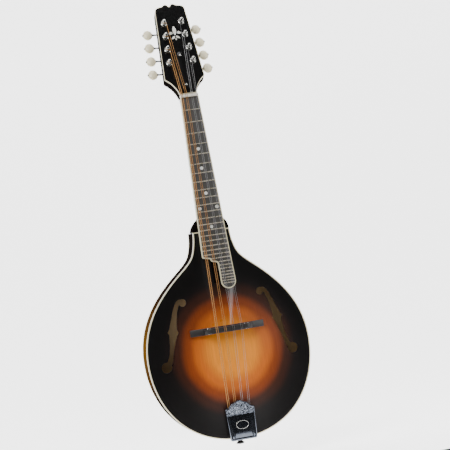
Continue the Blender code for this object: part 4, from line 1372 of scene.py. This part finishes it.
@dataclass
class Headstock:
    """The bound face, the pearl flower, the rod's cover and its screws."""

    overlay: float = 2.0
    binding: float = 0.8
    cover_thick: float = 2.0
    screws: tuple[float, float] = (20.5, 71.5)
    flower_at: tuple[float, float] = (0.0, 111.0)

    def outline(self) -> list[Point2]:
        """The headstock's edge: ears at the nut end, two low humps with a notch between them at the top."""
        half = [(0.0, 158.0), (1.0, 158.7)]
        half += bezier((1.0, 158.7), (2.0, 160.0), (3.4, 162.6), (6.0, 162.6), 6)
        half += bezier((6.0, 162.6), (8.8, 162.6), (9.6, 159.8), (12.5, 159.4), 6)
        half += bezier((12.5, 159.4), (14.8, 159.1), (16.6, 158.9), (18.4, 158.3), 4)
        half += bezier((18.4, 158.3), (21.4, 157.4), (23.1, 155.0), (23.4, 151.5), 6)
        half += [(23.4, 151.5), (26.8, 100.0), (29.9, 50.0), (30.8, 36.0)]
        half += bezier((30.8, 36.0), (31.0, 34.0), (30.6, 33.6), (29.0, 32.2), 5)
        half += bezier((29.0, 32.2), (20.0, 25.5), (14.6, 14.0), (13.4, 6.4), 12)
        return mirrored(half + [(13.4, 6.4)])

    def cover_outline(self) -> list[Point2]:
        """The rod cover's bell."""
        half = bezier((0.0, 77.0), (3.2, 77.0), (5.2, 74.0), (5.1, 69.0), 6)
        half += bezier((5.1, 69.0), (4.6, 58.0), (5.0, 50.0), (7.0, 41.0), 6)
        half += bezier((7.0, 41.0), (8.6, 33.0), (11.8, 27.0), (11.6, 19.0), 6)
        return mirrored(half + [(11.6, 19.0), (11.0, 13.0)])

    def flower(self) -> Mesh:
        """A generic inlaid flower: a tall petal, two side petals, a small foot and a pip."""
        tall = [(0.0, 12.6), (2.7, 7.0), (2.2, 1.0), (0.0, -3.2)]
        wing = [(3.4, 1.2), (6.2, 3.4), (9.6, 0.2), (7.4, -1.6), (4.6, -1.0)]
        foot = [(1.4, -4.6), (4.8, -6.0), (6.8, -9.4), (3.4, -9.2), (1.2, -7.4)]
        loops = [tall + [(-x, z) for x, z in reversed(tall[1:-1])]]
        for shape in (wing, foot):
            for side in Side:
                loops.append([(x * side.value, z) for x, z in shape])
        loops.append([(0.0, -8.4), (1.0, -10.2), (0.0, -12.0), (-1.0, -10.2)])
        petals = []
        for loop in loops:
            smooth = smooth_path([(x + self.flower_at[0], z + self.flower_at[1]) for x, z in loop], 6)
            petals.append(HEAD.slab([smooth], -0.03, 0.4))
        return joined("flower", petals)

    def screw(self, along: float) -> Mesh:
        """One domed, slotted screw standing on the cover."""
        level = self.cover_thick + 0.4
        mesh = turned_mesh(
            [(0.0, level + 1.1), (0.9, level + 1.0), (1.8, level + 0.5), (2.2, level), (0.0, level - 0.2)],
            28,
        )
        slot = prism_mesh([[(-3, -0.25), (3, -0.25), (3, 0.25), (-3, 0.25)]], 2.0)
        moved(slot, shift(0, 0, level + 1.6))
        mesh = cut_mesh(mesh, [slot], "DIFFERENCE")
        return moved(mesh, HEAD.matrix() @ shift(0, 0, along) @ FACING)

    def build(self) -> None:
        """Make and dress the headstock's face."""
        edge = self.outline()
        face = HEAD.slab([inset(edge, self.binding)], 0.0, self.overlay + 0.2)
        add_piece("head_face", face, "black", stands_for=["headstock_overlay"])
        trim = HEAD.slab([edge, inset(edge, self.binding)], -0.02, self.overlay + 0.2)
        add_piece("head_binding", trim, "binding", stands_for=["headstock_binding"])
        add_piece("head_flower", self.flower(), "pearl")
        cover = HEAD.slab([self.cover_outline()], -0.3 - self.cover_thick, -0.3, 0.5)
        add_piece("rod_cover", cover, "black", stands_for=["truss_rod_cover"])
        for place, name in zip(self.screws, ("lower", "upper")):
            add_piece(
                "rod_cover_screw_" + name, self.screw(place), "nickel",
                stands_for=["cover_screw_" + name],
            )
        PAINTS.wear(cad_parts["truss_rod"], "steel")
        PAINTS.wear(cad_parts["truss_rod_nut"], "nickel")


# --------------------------------------------------------------------------------------------------
# Tuners
# --------------------------------------------------------------------------------------------------


@dataclass
class Tuners:
    """Two strips of worm gears, with their posts, bushings and grained buttons."""

    first: float = 60.9
    pitch: float = 23.0
    low_half: float = 18.35
    high_half: float = 13.59
    post_tall: float = 9.5
    worm_depth: float = 23.7
    mesh_distance: float = 6.0
    button_out: float = 24.2
    button_radius: float = 7.4
    shaft: float = 1.25
    strip_front: float = 18.1
    strip_thick: float = 1.2

    def spot(self, index: int) -> Point2:
        """Half-spacing and distance along the head of one post."""
        return self.low_half + (self.high_half - self.low_half) * index / 3, self.first + self.pitch * index

    def tilt(self) -> float:
        """Angle of a row against the headstock's middle line."""
        return math.atan2(self.low_half - self.high_half, self.pitch * 3)

    def post_mesh(self) -> Mesh:
        """The bright, waisted part of a post above the face, with its domed end."""
        tall = self.post_tall
        profile = [
            (0.0, tall), (1.6, tall - 0.05), (2.5, tall - 0.3), (2.9, tall - 0.9), (3.0, tall - 1.6),
            (2.95, tall - 2.3),
        ]
        profile += [
            (2.4, tall - 3.1), (2.3, tall - 4.2), (2.3, tall - 5.4), (2.5, tall - 6.0),
            (3.0, tall - 6.7), (3.0, -1.0),
        ]
        return turned_mesh([*profile, (3.0, -25.9), (0.0, -25.9)], 40)

    def gear_mesh(self) -> Mesh:
        """The post's toothed wheel, with its staked middle."""
        loop = []
        step = 2.0 * math.pi / 13
        for tooth in range(13):
            for radius, offset in ((3.4, -0.3), (4.42, -0.11), (4.42, 0.11), (3.4, 0.3)):
                angle = step * (tooth + offset) - math.pi / 2
                loop.append((radius * math.cos(angle), radius * math.sin(angle)))
        return moved(prism_mesh([loop], 2.6, 0.1), shift(0, 0, -self.worm_depth))

    def bushing_mesh(self) -> Mesh:
        """The pressed ferrule round a post."""
        profile = [
            (3.25, 0.05), (3.25, 1.1), (3.6, 1.25), (4.2, 1.1), (4.9, 0.55), (5.2, 0.0), (5.2, -0.2),
            (3.25, -0.2),
        ]
        rings = [[(r * math.cos(a), r * math.sin(a), z) for r, z in profile] for a in self.turn(48)]
        return loft_mesh([*rings, rings[0]], caps=False)

    def turn(self, count: int) -> list[float]:
        """Angles round a full turn."""
        return [2 * math.pi * i / count for i in range(count)]

    def button_mesh(self) -> Mesh:
        """A flattened oval button with a small collar; its own Z runs outwards."""
        radius = self.button_radius
        profile = [(0.0, -radius - 0.5), (1.9, -radius - 0.5), (2.2, -radius + 0.1)]
        profile += [(radius * math.sin(math.pi * t), -radius * math.cos(math.pi * t)) for t in self.turns()]
        button = turned_mesh([*profile, (0.0, radius)], 48)
        flat = Matrix.Diagonal((1.12, 0.55, 1.0, 1.0))
        button = moved(button, flat)
        return moved(button, shift(0, 0, self.button_out))

    def turns(self) -> list[float]:
        """Shares of the half turn across a button's outline."""
        return [0.12 + 0.86 * i / 24 for i in range(25)]

    def shaft_mesh(self) -> Mesh:
        """The worm's shaft with its collars, from its inner end to inside the button."""
        out = self.button_out - 6.6
        profile = [
            (0.0, -6.6), (self.shaft, -6.6), (self.shaft, -2.4), (1.45, -2.3), (1.45, 2.3),
            (self.shaft, 2.4),
        ]
        profile += [
            (self.shaft, 6.2), (1.9, 6.3), (1.9, 7.3), (self.shaft, 7.5), (self.shaft, out - 1.6),
            (1.9, out - 1.2),
        ]
        return turned_mesh([*profile, (2.1, out), (0.0, out)], 28)

    def worm_mesh(self, side: Side) -> Mesh:
        """The worm's single thread as a swept ridge.

        Args:
            side: The row it sits in, which sets its hand.

        Returns:
            The thread, closed.
        """
        pitch = 2 * math.pi * 4.0 / 13
        start = 0.0 if side is Side.TREBLE else 0.5
        path = []
        for i in range(97):
            height = -2.05 + 4.1 * i / 96
            angle = -2 * math.pi * side.value * (height / pitch + start)
            path.append((1.75 * math.cos(angle), 1.75 * math.sin(angle), height))
        return wire_mesh(path, 0.5)

    def tip_mesh(self) -> Mesh:
        """The small dark screw at a button's end."""
        out = self.button_out + 7.0
        profile = [
            (0.0, out + 1.5), (0.7, out + 1.4), (1.2, out + 1.0), (1.7, out + 0.3), (1.9, out - 0.5),
            (0.0, out - 0.6),
        ]
        head = turned_mesh(profile, 28)
        slot = prism_mesh([[(-3, -0.22), (3, -0.22), (3, 0.22), (-3, 0.22)]], 0.8)
        return cut_mesh(head, [moved(slot, shift(0, 0, out + 1.5))], "DIFFERENCE")

    def strip_mesh(self, side: Side) -> Mesh:
        """One long base plate with rounded ends, raised lugs and bores for its posts.

        Args:
            side: Which row.

        Returns:
            The strip in the row frame.
        """
        tilt = self.tilt()
        along = Vector((-math.sin(tilt), math.cos(tilt)))
        out = Vector((math.cos(tilt), math.sin(tilt)))
        start, end = Vector(self.spot(0)) - along * 12.0, Vector(self.spot(3)) + along * 8.0
        corners = [start - out * 6.0, start - out * 4.0 - along, start + out * 4.0 - along, start + out * 6.0]
        corners += [end + out * 6.0, end + out * 4.0 + along, end - out * 4.0 + along, end - out * 6.0]
        loop = [(side.value * c.x, c.y) for c in corners]
        holes = []
        for index in range(4):
            across, high = self.spot(index)
            holes.append(arc((side.value * across, high), 3.3, 0, 2 * math.pi * 35 / 36, 35))
        plate = HEAD.slab([loop, *holes], self.strip_front, self.strip_front + self.strip_thick, 0.2)
        lugs = []
        for index in range(4):
            worm = Vector(self.spot(index)) - along * self.mesh_distance
            for reach in (-5.1, 5.1):
                middle = worm + out * reach
                lugs.append(self.lug(side, middle, tilt))
        return cut_mesh(plate, lugs, "UNION")

    def lug(self, side: Side, middle: Vector, tilt: float) -> Mesh:
        """One raised ear that carries a worm's shaft.

        Args:
            side: Which row.
            middle: The ear's place on the head.
            tilt: The row's angle.

        Returns:
            The ear in the row frame.
        """
        half = [(0.0, 2.6), (1.3, 2.3), (2.1, 1.5), (2.4, 0.2), (2.4, -4.8)]
        ear = prism_mesh([mirrored(half)], 1.2, 0.12)
        bore = prism_mesh([arc((0, 0), 1.5, 0, 2 * math.pi * 23 / 24, 23)], 4.0)
        ear = cut_mesh(ear, [bore], "DIFFERENCE")
        swap = Matrix(((0, 0, 1, 0), (0, 1, 0, 0), (1, 0, 0, 0), (0, 0, 0, 1)))
        flip = Matrix.Rotation(-side.value * tilt, 4, "Y") @ swap
        return moved(ear, HEAD.matrix() @ shift(side.value * middle.x, self.worm_depth, middle.y) @ flip)

    def build(self) -> None:
        """Make and dress both rows."""
        tilt = self.tilt()
        along = Vector((-math.sin(tilt), math.cos(tilt)))
        rings = []
        for side in Side:
            strip = self.strip_mesh(side)
            add_piece("strip_" + side.label, strip, "nickel", stands_for=["tuner_strip_" + side.label])
            for index in range(4):
                label = "_" + side.label + "_" + str(index + 1)
                across, high = self.spot(index)
                post = HEAD.matrix() @ shift(side.value * across, 0, high) @ FACING
                body = "string_post" + label
                add_piece(
                    "post" + label, moved(self.post_mesh(), post), "nickel", body,
                    ["string_post" + label],
                )
                add_piece(
                    "gear" + label, moved(self.gear_mesh(), post), "brass", body,
                    ["string_post" + label],
                )
                rings.append(moved(self.bushing_mesh(), post))
                worm = Vector((across, high)) - along * self.mesh_distance
                lean = Matrix.Rotation(side.value * (RIGHT - tilt), 4, "Y")
                key = HEAD.matrix() @ shift(side.value * worm.x, self.worm_depth, worm.y) @ lean
                body = "tuner_key" + label
                whole = [body]
                add_piece("button" + label, moved(self.button_mesh(), key), "button", body, whole, 60)
                add_piece("shaft" + label, moved(self.shaft_mesh(), key), "shaft", body, whole)
                add_piece("worm" + label, moved(self.worm_mesh(side), key), "shaft", body, whole, 60)
                add_piece("button_screw" + label, moved(self.tip_mesh(), key), "shaft", body, whole)
        add_piece("post_bushings", joined("bushings", rings), "nickel")


# --------------------------------------------------------------------------------------------------
# Bridge, tailpiece and strings
# --------------------------------------------------------------------------------------------------


@dataclass
class Bridge:
    """The adjustable bridge: a fitted base, a compensated saddle, and two knurled wheels."""

    z: float = -353.601
    crown: float = -49.469
    half: float = 36.0
    base_half: float = 56.0
    base_front: float = -36.2
    base_wide: float = 10.0
    wheel_thick: float = 2.4
    wheel_radius: float = 5.0
    post_at: float = 28.5
    slots: tuple[float, ...] = ()

    def wheel_top(self) -> float:
        """Y of the wheels' upper faces."""
        return self.base_front - 0.3 - self.wheel_thick

    def wheel_mesh(self) -> Mesh:
        """A knurled wheel with a bore, lying in its own XY plane."""
        edge = []
        for i in range(72):
            radius = self.wheel_radius - (0.0 if i % 2 else 0.35)
            edge.append((radius * math.cos(2 * math.pi * i / 72), radius * math.sin(2 * math.pi * i / 72)))
        bore = arc((0, 0), 1.85, 0, 2 * math.pi * 27 / 28, 27)
        return prism_mesh([edge, bore], self.wheel_thick, 0.25)

    def saddle_mesh(self) -> Mesh:
        """The saddle: feet over the wheels, a shallow arch between them and a stepped, rounded crown."""
        foot = self.wheel_top() - 0.3
        top = self.crown + 0.1
        half = [
            (0.0, foot - 2.2), (16.0, foot - 1.6), (21.0, foot), (self.half - 1.0, foot),
            (self.half, foot - 1.0),
        ]
        half += bezier(
            (self.half, foot - 3.4), (self.half, foot - 6.0), (self.half - 4, top + 0.2),
            (self.half - 10, top), 10,
        )
        half += [(self.half - 10, top), (0.0, top - 0.3)]
        left = [(-x, y) for x, y in reversed(half[1:-1])]
        mesh = moved(prism_mesh([half + left], 7.0, 0.45), shift(0, 0, self.z))
        cutters = []
        floor = self.crown + 0.4
        for x, radius in self.slots:
            half = radius + 0.15
            seat = arc((x, self.crown + 0.5), radius + 0.18, 0, 2 * math.pi * 19 / 20, 19)
            mouth = [(x - half, -60), (x + half, -60), (x + half, floor), (x - half, floor)]
            cutters += [moved(prism_mesh([loop], 20), shift(0, 0, self.z)) for loop in (seat, mouth)]
        return cut_mesh(mesh, cutters, "DIFFERENCE")

    def build(self, floor: Callable[[float, float], float]) -> None:
        """Make and dress the bridge.

        Args:
            floor: Height of the top plate's face at a place.
        """
        steps = [-self.base_half + self.base_half * i / 28 for i in range(57)]
        foot = [(x, min(floor(x, self.z + dz) for dz in (-5.0, 0.0, 5.0)) - 0.3) for x in steps]
        shape = [
            (-self.base_half, -30.6), (-53.0, -31.8), (-46.0, -33.0), (-39.0, self.base_front + 0.6),
            (-34.0, self.base_front),
        ]
        shape += [(-x, y) for x, y in reversed(shape)]
        mesh = moved(prism_mesh([shape + list(reversed(foot))], self.base_wide, 0.5), shift(0, 0, self.z))
        add_piece("bridge_foot", mesh, "ebony", stands_for=["bridge_base"])
        add_piece("bridge_crown", self.saddle_mesh(), "ebony", "saddle", ["bridge_saddle"])
        for side in Side:
            spot = shift(side.value * self.post_at, self.wheel_top() + self.wheel_thick / 2, self.z) @ FACING
            name = "thumbwheel_" + side.label
            add_piece("knurled_wheel_" + side.label, moved(self.wheel_mesh(), spot), "nickel", name, [name])
            PAINTS.wear(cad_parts["bridge_post_" + side.label], "steel")


@dataclass
class Tailpiece:
    """The stamped cover with its rolled edges, the plate under it and the strap button."""

    front: float = -36.0
    wall: float = 0.8
    half_tail: float = 20.0
    tip: float = -461.0
    tail: float = -521.0
    plate_front: float = -24.6
    strap_y: float = 4.7
    body_tail: float = -520.0

    def half_outline(self) -> list[Point2]:
        """The treble half of the cover's outline: a low pointed crest, a shoulder and straight sides."""
        half = bezier((0.0, self.tip), (3.0, self.tip - 0.2), (5.0, self.tip - 2.4), (9.5, self.tip - 4.0), 8)
        half += bezier(
            (9.5, self.tip - 4.0), (14.0, self.tip - 5.4), (15.0, self.tip - 9.6),
            (18.5, self.tip - 10.6), 8,
        )
        half += bezier(
            (18.5, self.tip - 10.6), (20.0, self.tip - 11.2), (22.3, self.tip - 11.0),
            (22.3, self.tip - 13.0), 5,
        )
        half += [(22.3, self.tip - 13.0), (self.half_tail + 0.2, self.tail + 3.0)]
        return half + bezier(
            (self.half_tail + 0.2, self.tail + 3.0), (20.0, self.tail + 1.0), (19.2, self.tail),
            (17.5, self.tail), 5,
        )

    def cover_mesh(self) -> Mesh:
        """A domed shell with rolled front edges, whose tail end and sides turn down to the top."""
        low = self.plate_front - 0.5
        edge = mirrored([*self.half_outline(), (17.5, self.tail)])
        levels = [
            (0.0, low), (0.0, -29.0), (0.0, self.front + 2.6), (0.25, self.front + 1.5),
            (0.9, self.front + 0.65),
        ]
        levels += [
            (1.8, self.front + 0.25), (3.0, self.front + 0.3), (3.6, self.front + 0.6),
            (4.4, self.front + 0.45),
        ]
        levels += [(6.5, self.front + 0.1), (9.5, self.front), (14.0, self.front)]
        rings = []
        for depth, y in levels:
            flat = [(x, y, z) for x, z in inset(edge, depth)] if depth < 7 else self.shrunk(edge, depth, y)
            rings.append(flat)
        inner = [
            (self.wall, low), (self.wall, self.front + 3.0), (2.0, self.front + 1.4),
            (6.0, self.front + 1.0),
        ]
        back = [[(x, y, z) for x, z in inset(edge, depth)] for depth, y in inner]
        back += [self.shrunk(edge, 14.0, self.front + self.wall)]
        return loft_mesh([*reversed(rings), *back])

    def shrunk(self, edge: Sequence[Point2], depth: float, y: float) -> list[Point3]:
        """The outline scaled towards its middle by a depth."""
        centre = (self.tip + self.tail) / 2
        share = 1.0 - depth / 20.5
        return [(x * share, y, centre + (z - centre) * share) for x, z in edge]

    def base_mesh(self) -> Mesh:
        """The plate on the top, bent down over the tail."""
        flange = self.body_tail - 0.3
        face = self.plate_front
        profile = [
            (face, -474.0), (face, flange - 0.4), (face + 0.4, flange - 1.0), (-2.9, flange - 1.0),
            (-2.5, flange - 0.7),
        ]
        profile += [(-2.5, flange), (face + 1.0, flange), (face + 1.0, -474.0)]
        turn = Matrix(((0, 0, 1, 0), (1, 0, 0, 0), (0, 1, 0, 0), (0, 0, 0, 1)))
        return moved(prism_mesh([profile], 30.0, 0.1), turn)

    def hook_bar_mesh(self) -> Mesh:
        """The plain bar that stands where the strings' loops are held."""
        low, high = self.plate_front - 3, self.plate_front + 0.3
        bar = prism_mesh([[(-18, low), (18, low), (18, high), (-18, high)]], 3.0, 0.3)
        return moved(bar, shift(0, 0, -504.5))

    def turn(self) -> list[float]:
        """Angles round the engraved oval."""
        return [2 * math.pi * i / 48 for i in range(48)]

    def strap_mesh(self) -> Mesh:
        """The strap button, turned, with its flange to the tail."""
        profile = [
            (0.0, 0.0), (4.4, 0.0), (4.8, -0.4), (4.4, -1.2), (3.5, -2.4), (3.2, -4.0), (3.5, -5.3),
            (4.6, -6.6),
        ]
        profile += [(6.0, -7.4), (6.4, -8.0), (6.3, -8.9), (5.4, -9.8), (3.6, -10.3), (0.0, -10.4)]
        return moved(turned_mesh(profile, 48), shift(0, self.strap_y, self.body_tail - 0.3))

    def build(self) -> None:
        """Make and dress the tailpiece."""
        add_piece("tail_cover", self.cover_mesh(), "cover", "cover", ["tailpiece_cover"], 40)
        oval = [(9.5 * math.cos(a), self.front - 0.1, -498.0 + 6.0 * math.sin(a)) for a in self.turn()]
        add_piece("cover_oval", wire_mesh([*oval, oval[0]], 0.3), "nickel", "cover", ["tailpiece_cover"], 60)
        add_piece("tail_plate", self.base_mesh(), "nickel", stands_for=["tailpiece_base"])
        add_piece("hook_bar", self.hook_bar_mesh(), "nickel", stands_for=["tailpiece_base"])
        add_piece("strap_peg", self.strap_mesh(), "black", stands_for=["strap_button"], angle=50)


@dataclass
class StringLine:
    """One string's gauge and where it crosses the nut, the saddle and its hook."""

    name: str
    radius: float
    at_nut: float
    at_saddle: float
    at_tail: float


STRING_SET = (
    StringLine("string_g1", 0.5, -12.6, -20.0, -16.0),
    StringLine("string_g2", 0.5, -10.2, -17.4, -13.4),
    StringLine("string_d1", 0.36, -5.3, -7.6, -6.6),
    StringLine("string_d2", 0.36, -3.0, -5.0, -4.0),
    StringLine("string_a1", 0.22, 3.0, 5.0, 4.0),
    StringLine("string_a2", 0.22, 5.2, 7.5, 6.5),
    StringLine("string_e1", 0.17, 10.4, 17.6, 13.4),
    StringLine("string_e2", 0.17, 12.4, 20.0, 15.8),
)


@dataclass
class Strings:
    """Eight strings, each from its hook over the saddle and nut to a few turns round its post."""

    tuners: Tuners
    bridge: Bridge
    rise: float = 1.5
    nut_length: float = 4.2
    hook: Point2 = (-26.0, -502.6)

    def head_path(self, order: int, line: StringLine) -> list[Point3]:
        """The string from the nut to its last turn.

        Args:
            order: The string's place, from the lowest.
            line: The string.

        Returns:
            The path's points.
        """
        bass = order < 4
        across, along = self.tuners.spot(order if bass else 7 - order)
        side = -1 if bass else 1
        wrap = 2.3 + line.radius + 0.05
        path = [NECK.point(line.at_nut, -self.rise, u) for u in (-0.5, self.nut_length)]
        for step in range(61):
            angle = 2 * math.pi * step / 24
            level = 0.4 - (self.tuners.post_tall - 4.3) - step * (2 * line.radius + 0.04) / 24
            x = side * (across - wrap * math.cos(angle))
            path.append(HEAD.point(x, level, along + wrap * math.sin(angle)))
        return path

    def build(self) -> None:
        """Make and dress the strings, each in a speaking part and a tail part that meet at the saddle."""
        for order, line in enumerate(STRING_SET):
            finish = "bronze" if order < 4 else "string_steel"
            crown = (line.at_saddle, self.bridge.crown, self.bridge.z)
            hook = (line.at_tail, *self.hook)
            nut = NECK.point(line.at_nut, -self.rise, -0.5)
            tail = self.fine([hook, crown], 12)
            head = self.fine([crown, nut], 40) + self.head_path(order, line)[1:]
            self.strung(line, "_tail", tail, finish)
            self.strung(line, "", head, finish)

    def fine(self, ends: Sequence[Point3], steps: int) -> list[Point3]:
        """Points along a straight line, both ends among them."""
        start, end = Vector(ends[0]), Vector(ends[1])
        return [tuple(start.lerp(end, i / steps)) for i in range(steps + 1)]

    def strung(
        self, line: StringLine, part: str, path: Sequence[Point3], finish: str
    ) -> None:
        """Make one part of a string and leave it on no body.

        Args:
            line: The string.
            part: The part's ending in the piece's name.
            path: Its points.
            finish: A key of FINISHES.
        """
        mesh = wire_mesh(path, line.radius, 4)
        piece = add_piece(line.name + part + "_wire", mesh, finish, "", [line.name], 80)
        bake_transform(piece)


# --------------------------------------------------------------------------------------------------
# Studio
# --------------------------------------------------------------------------------------------------


@dataclass
class Softbox:
    """One soft light: where it stands, what it looks at, its size and its power."""

    name: str
    place: Point3
    size: Point2
    power: float
    target: Point3 = (0.0, 0.0, -0.2)


@dataclass
class Studio:
    """A pale floor that sweeps up behind the mandolin, soft lights and the camera."""

    lights: tuple[Softbox, ...] = ()
    floor_at: float = -0.56
    floor_start: float = -0.225
    wall_at: float = 1.2
    ambient: float = 0.06
    lens: float = 127.65
    distance: float = 2.4045
    roll: float = 8.71
    towards: Point3 = (-0.18564, -0.98245, -0.01832)
    target: Point3 = (0.02347, -0.0145, -0.20028)

    def build(self) -> None:
        """Set up the studio."""
        self.backdrop()
        for light in self.lights:
            self.soft(light)
        world = bpy.data.worlds.new("studio")
        bpy.context.scene.world = world
        world.use_nodes = True
        world.node_tree.nodes["Background"].inputs[0].default_value = (1.0, 1.0, 1.0, 1.0)
        world.node_tree.nodes["Background"].inputs[1].default_value = self.ambient
        self.camera()

    def backdrop(self) -> None:
        """Sweep a floor up into a wall."""
        profile = [(self.floor_start, self.floor_at), (self.wall_at - 0.8, self.floor_at)]
        profile += arc((self.wall_at - 0.8, self.floor_at + 0.8), 0.8, -RIGHT, 0.0, 24)
        profile += [(self.wall_at, 7.0)]
        work = bmesh.new()
        rows = [[work.verts.new((x, y, z)) for y, z in profile] for x in (-7.0, 7.0)]
        for i in range(len(profile) - 1):
            work.faces.new((rows[0][i], rows[1][i], rows[1][i + 1], rows[0][i + 1]))
        mesh = bpy.data.meshes.new("sweep")
        work.to_mesh(mesh)
        work.free()
        mesh.shade_smooth()
        sweep = bpy.data.objects.new("sweep", mesh)
        bpy.context.scene.collection.objects.link(sweep)
        PAINTS.wear(sweep, "paper")

    def soft(self, light: Softbox) -> None:
        """Hang one softbox."""
        lamp = bpy.data.lights.new(light.name, "AREA")
        lamp.shape = "RECTANGLE"
        lamp.size, lamp.size_y = light.size
        lamp.energy = light.power
        holder = bpy.data.objects.new(light.name, lamp)
        holder.location = light.place
        aim = Vector(light.target) - Vector(light.place)
        holder.rotation_euler = aim.to_track_quat("-Z", "Y").to_euler()
        bpy.context.scene.collection.objects.link(holder)

    def camera(self) -> None:
        """Place the camera, turned a little on its side as the mandolin leans."""
        data = bpy.data.cameras.new("camera")
        data.lens = self.lens
        data.clip_end = 30.0
        towards = Vector(self.towards).normalized()
        across = Vector((-towards.y, towards.x, 0.0)).normalized()
        up = towards.cross(across)
        roll = math.radians(self.roll)
        x_axis = across * math.cos(roll) - up * math.sin(roll)
        y_axis = across * math.sin(roll) + up * math.cos(roll)
        turn = Matrix((x_axis, y_axis, towards)).transposed().to_4x4()
        eye = bpy.data.objects.new("camera", data)
        eye.matrix_world = Matrix.Translation(Vector(self.target) + towards * self.distance) @ turn
        bpy.context.scene.collection.objects.link(eye)
        bpy.context.scene.camera = eye


def main() -> None:
    """Build every piece, then the studio."""
    logging.basicConfig(level=logging.INFO, format="%(name)s: %(message)s")
    box = Soundbox()
    board = Fingerboard()
    head = Headstock()
    tuners = Tuners()
    bridge = Bridge(slots=tuple((line.at_saddle, line.radius) for line in STRING_SET))
    box.build()
    board.build()
    NeckWood(board, box).build(head.outline())
    head.build()
    tuners.build()
    bridge.build(box.face_at)
    Tailpiece().build()
    Strings(tuners, bridge).build()
    glow = []
    for side in Side:
        start, aim = (side.value * 0.02, 0.0, -0.35), (side.value * 0.09, 0.03, -0.35)
        glow.append(Softbox("inner_" + side.label, start, (0.05, 0.05), 0.04, aim))
    key = Softbox("key", (-1.6, -2.2, 1.6), (1.6, 1.6), 105.0)
    fill = Softbox("fill", (2.2, -2.0, 0.4), (1.4, 2.2), 45.0)
    rim = Softbox("top", (0.3, -0.4, 2.0), (2.0, 1.2), 30.0)
    Studio(lights=(key, fill, rim, *glow)).build()


if __name__ == "__main__":
    main()
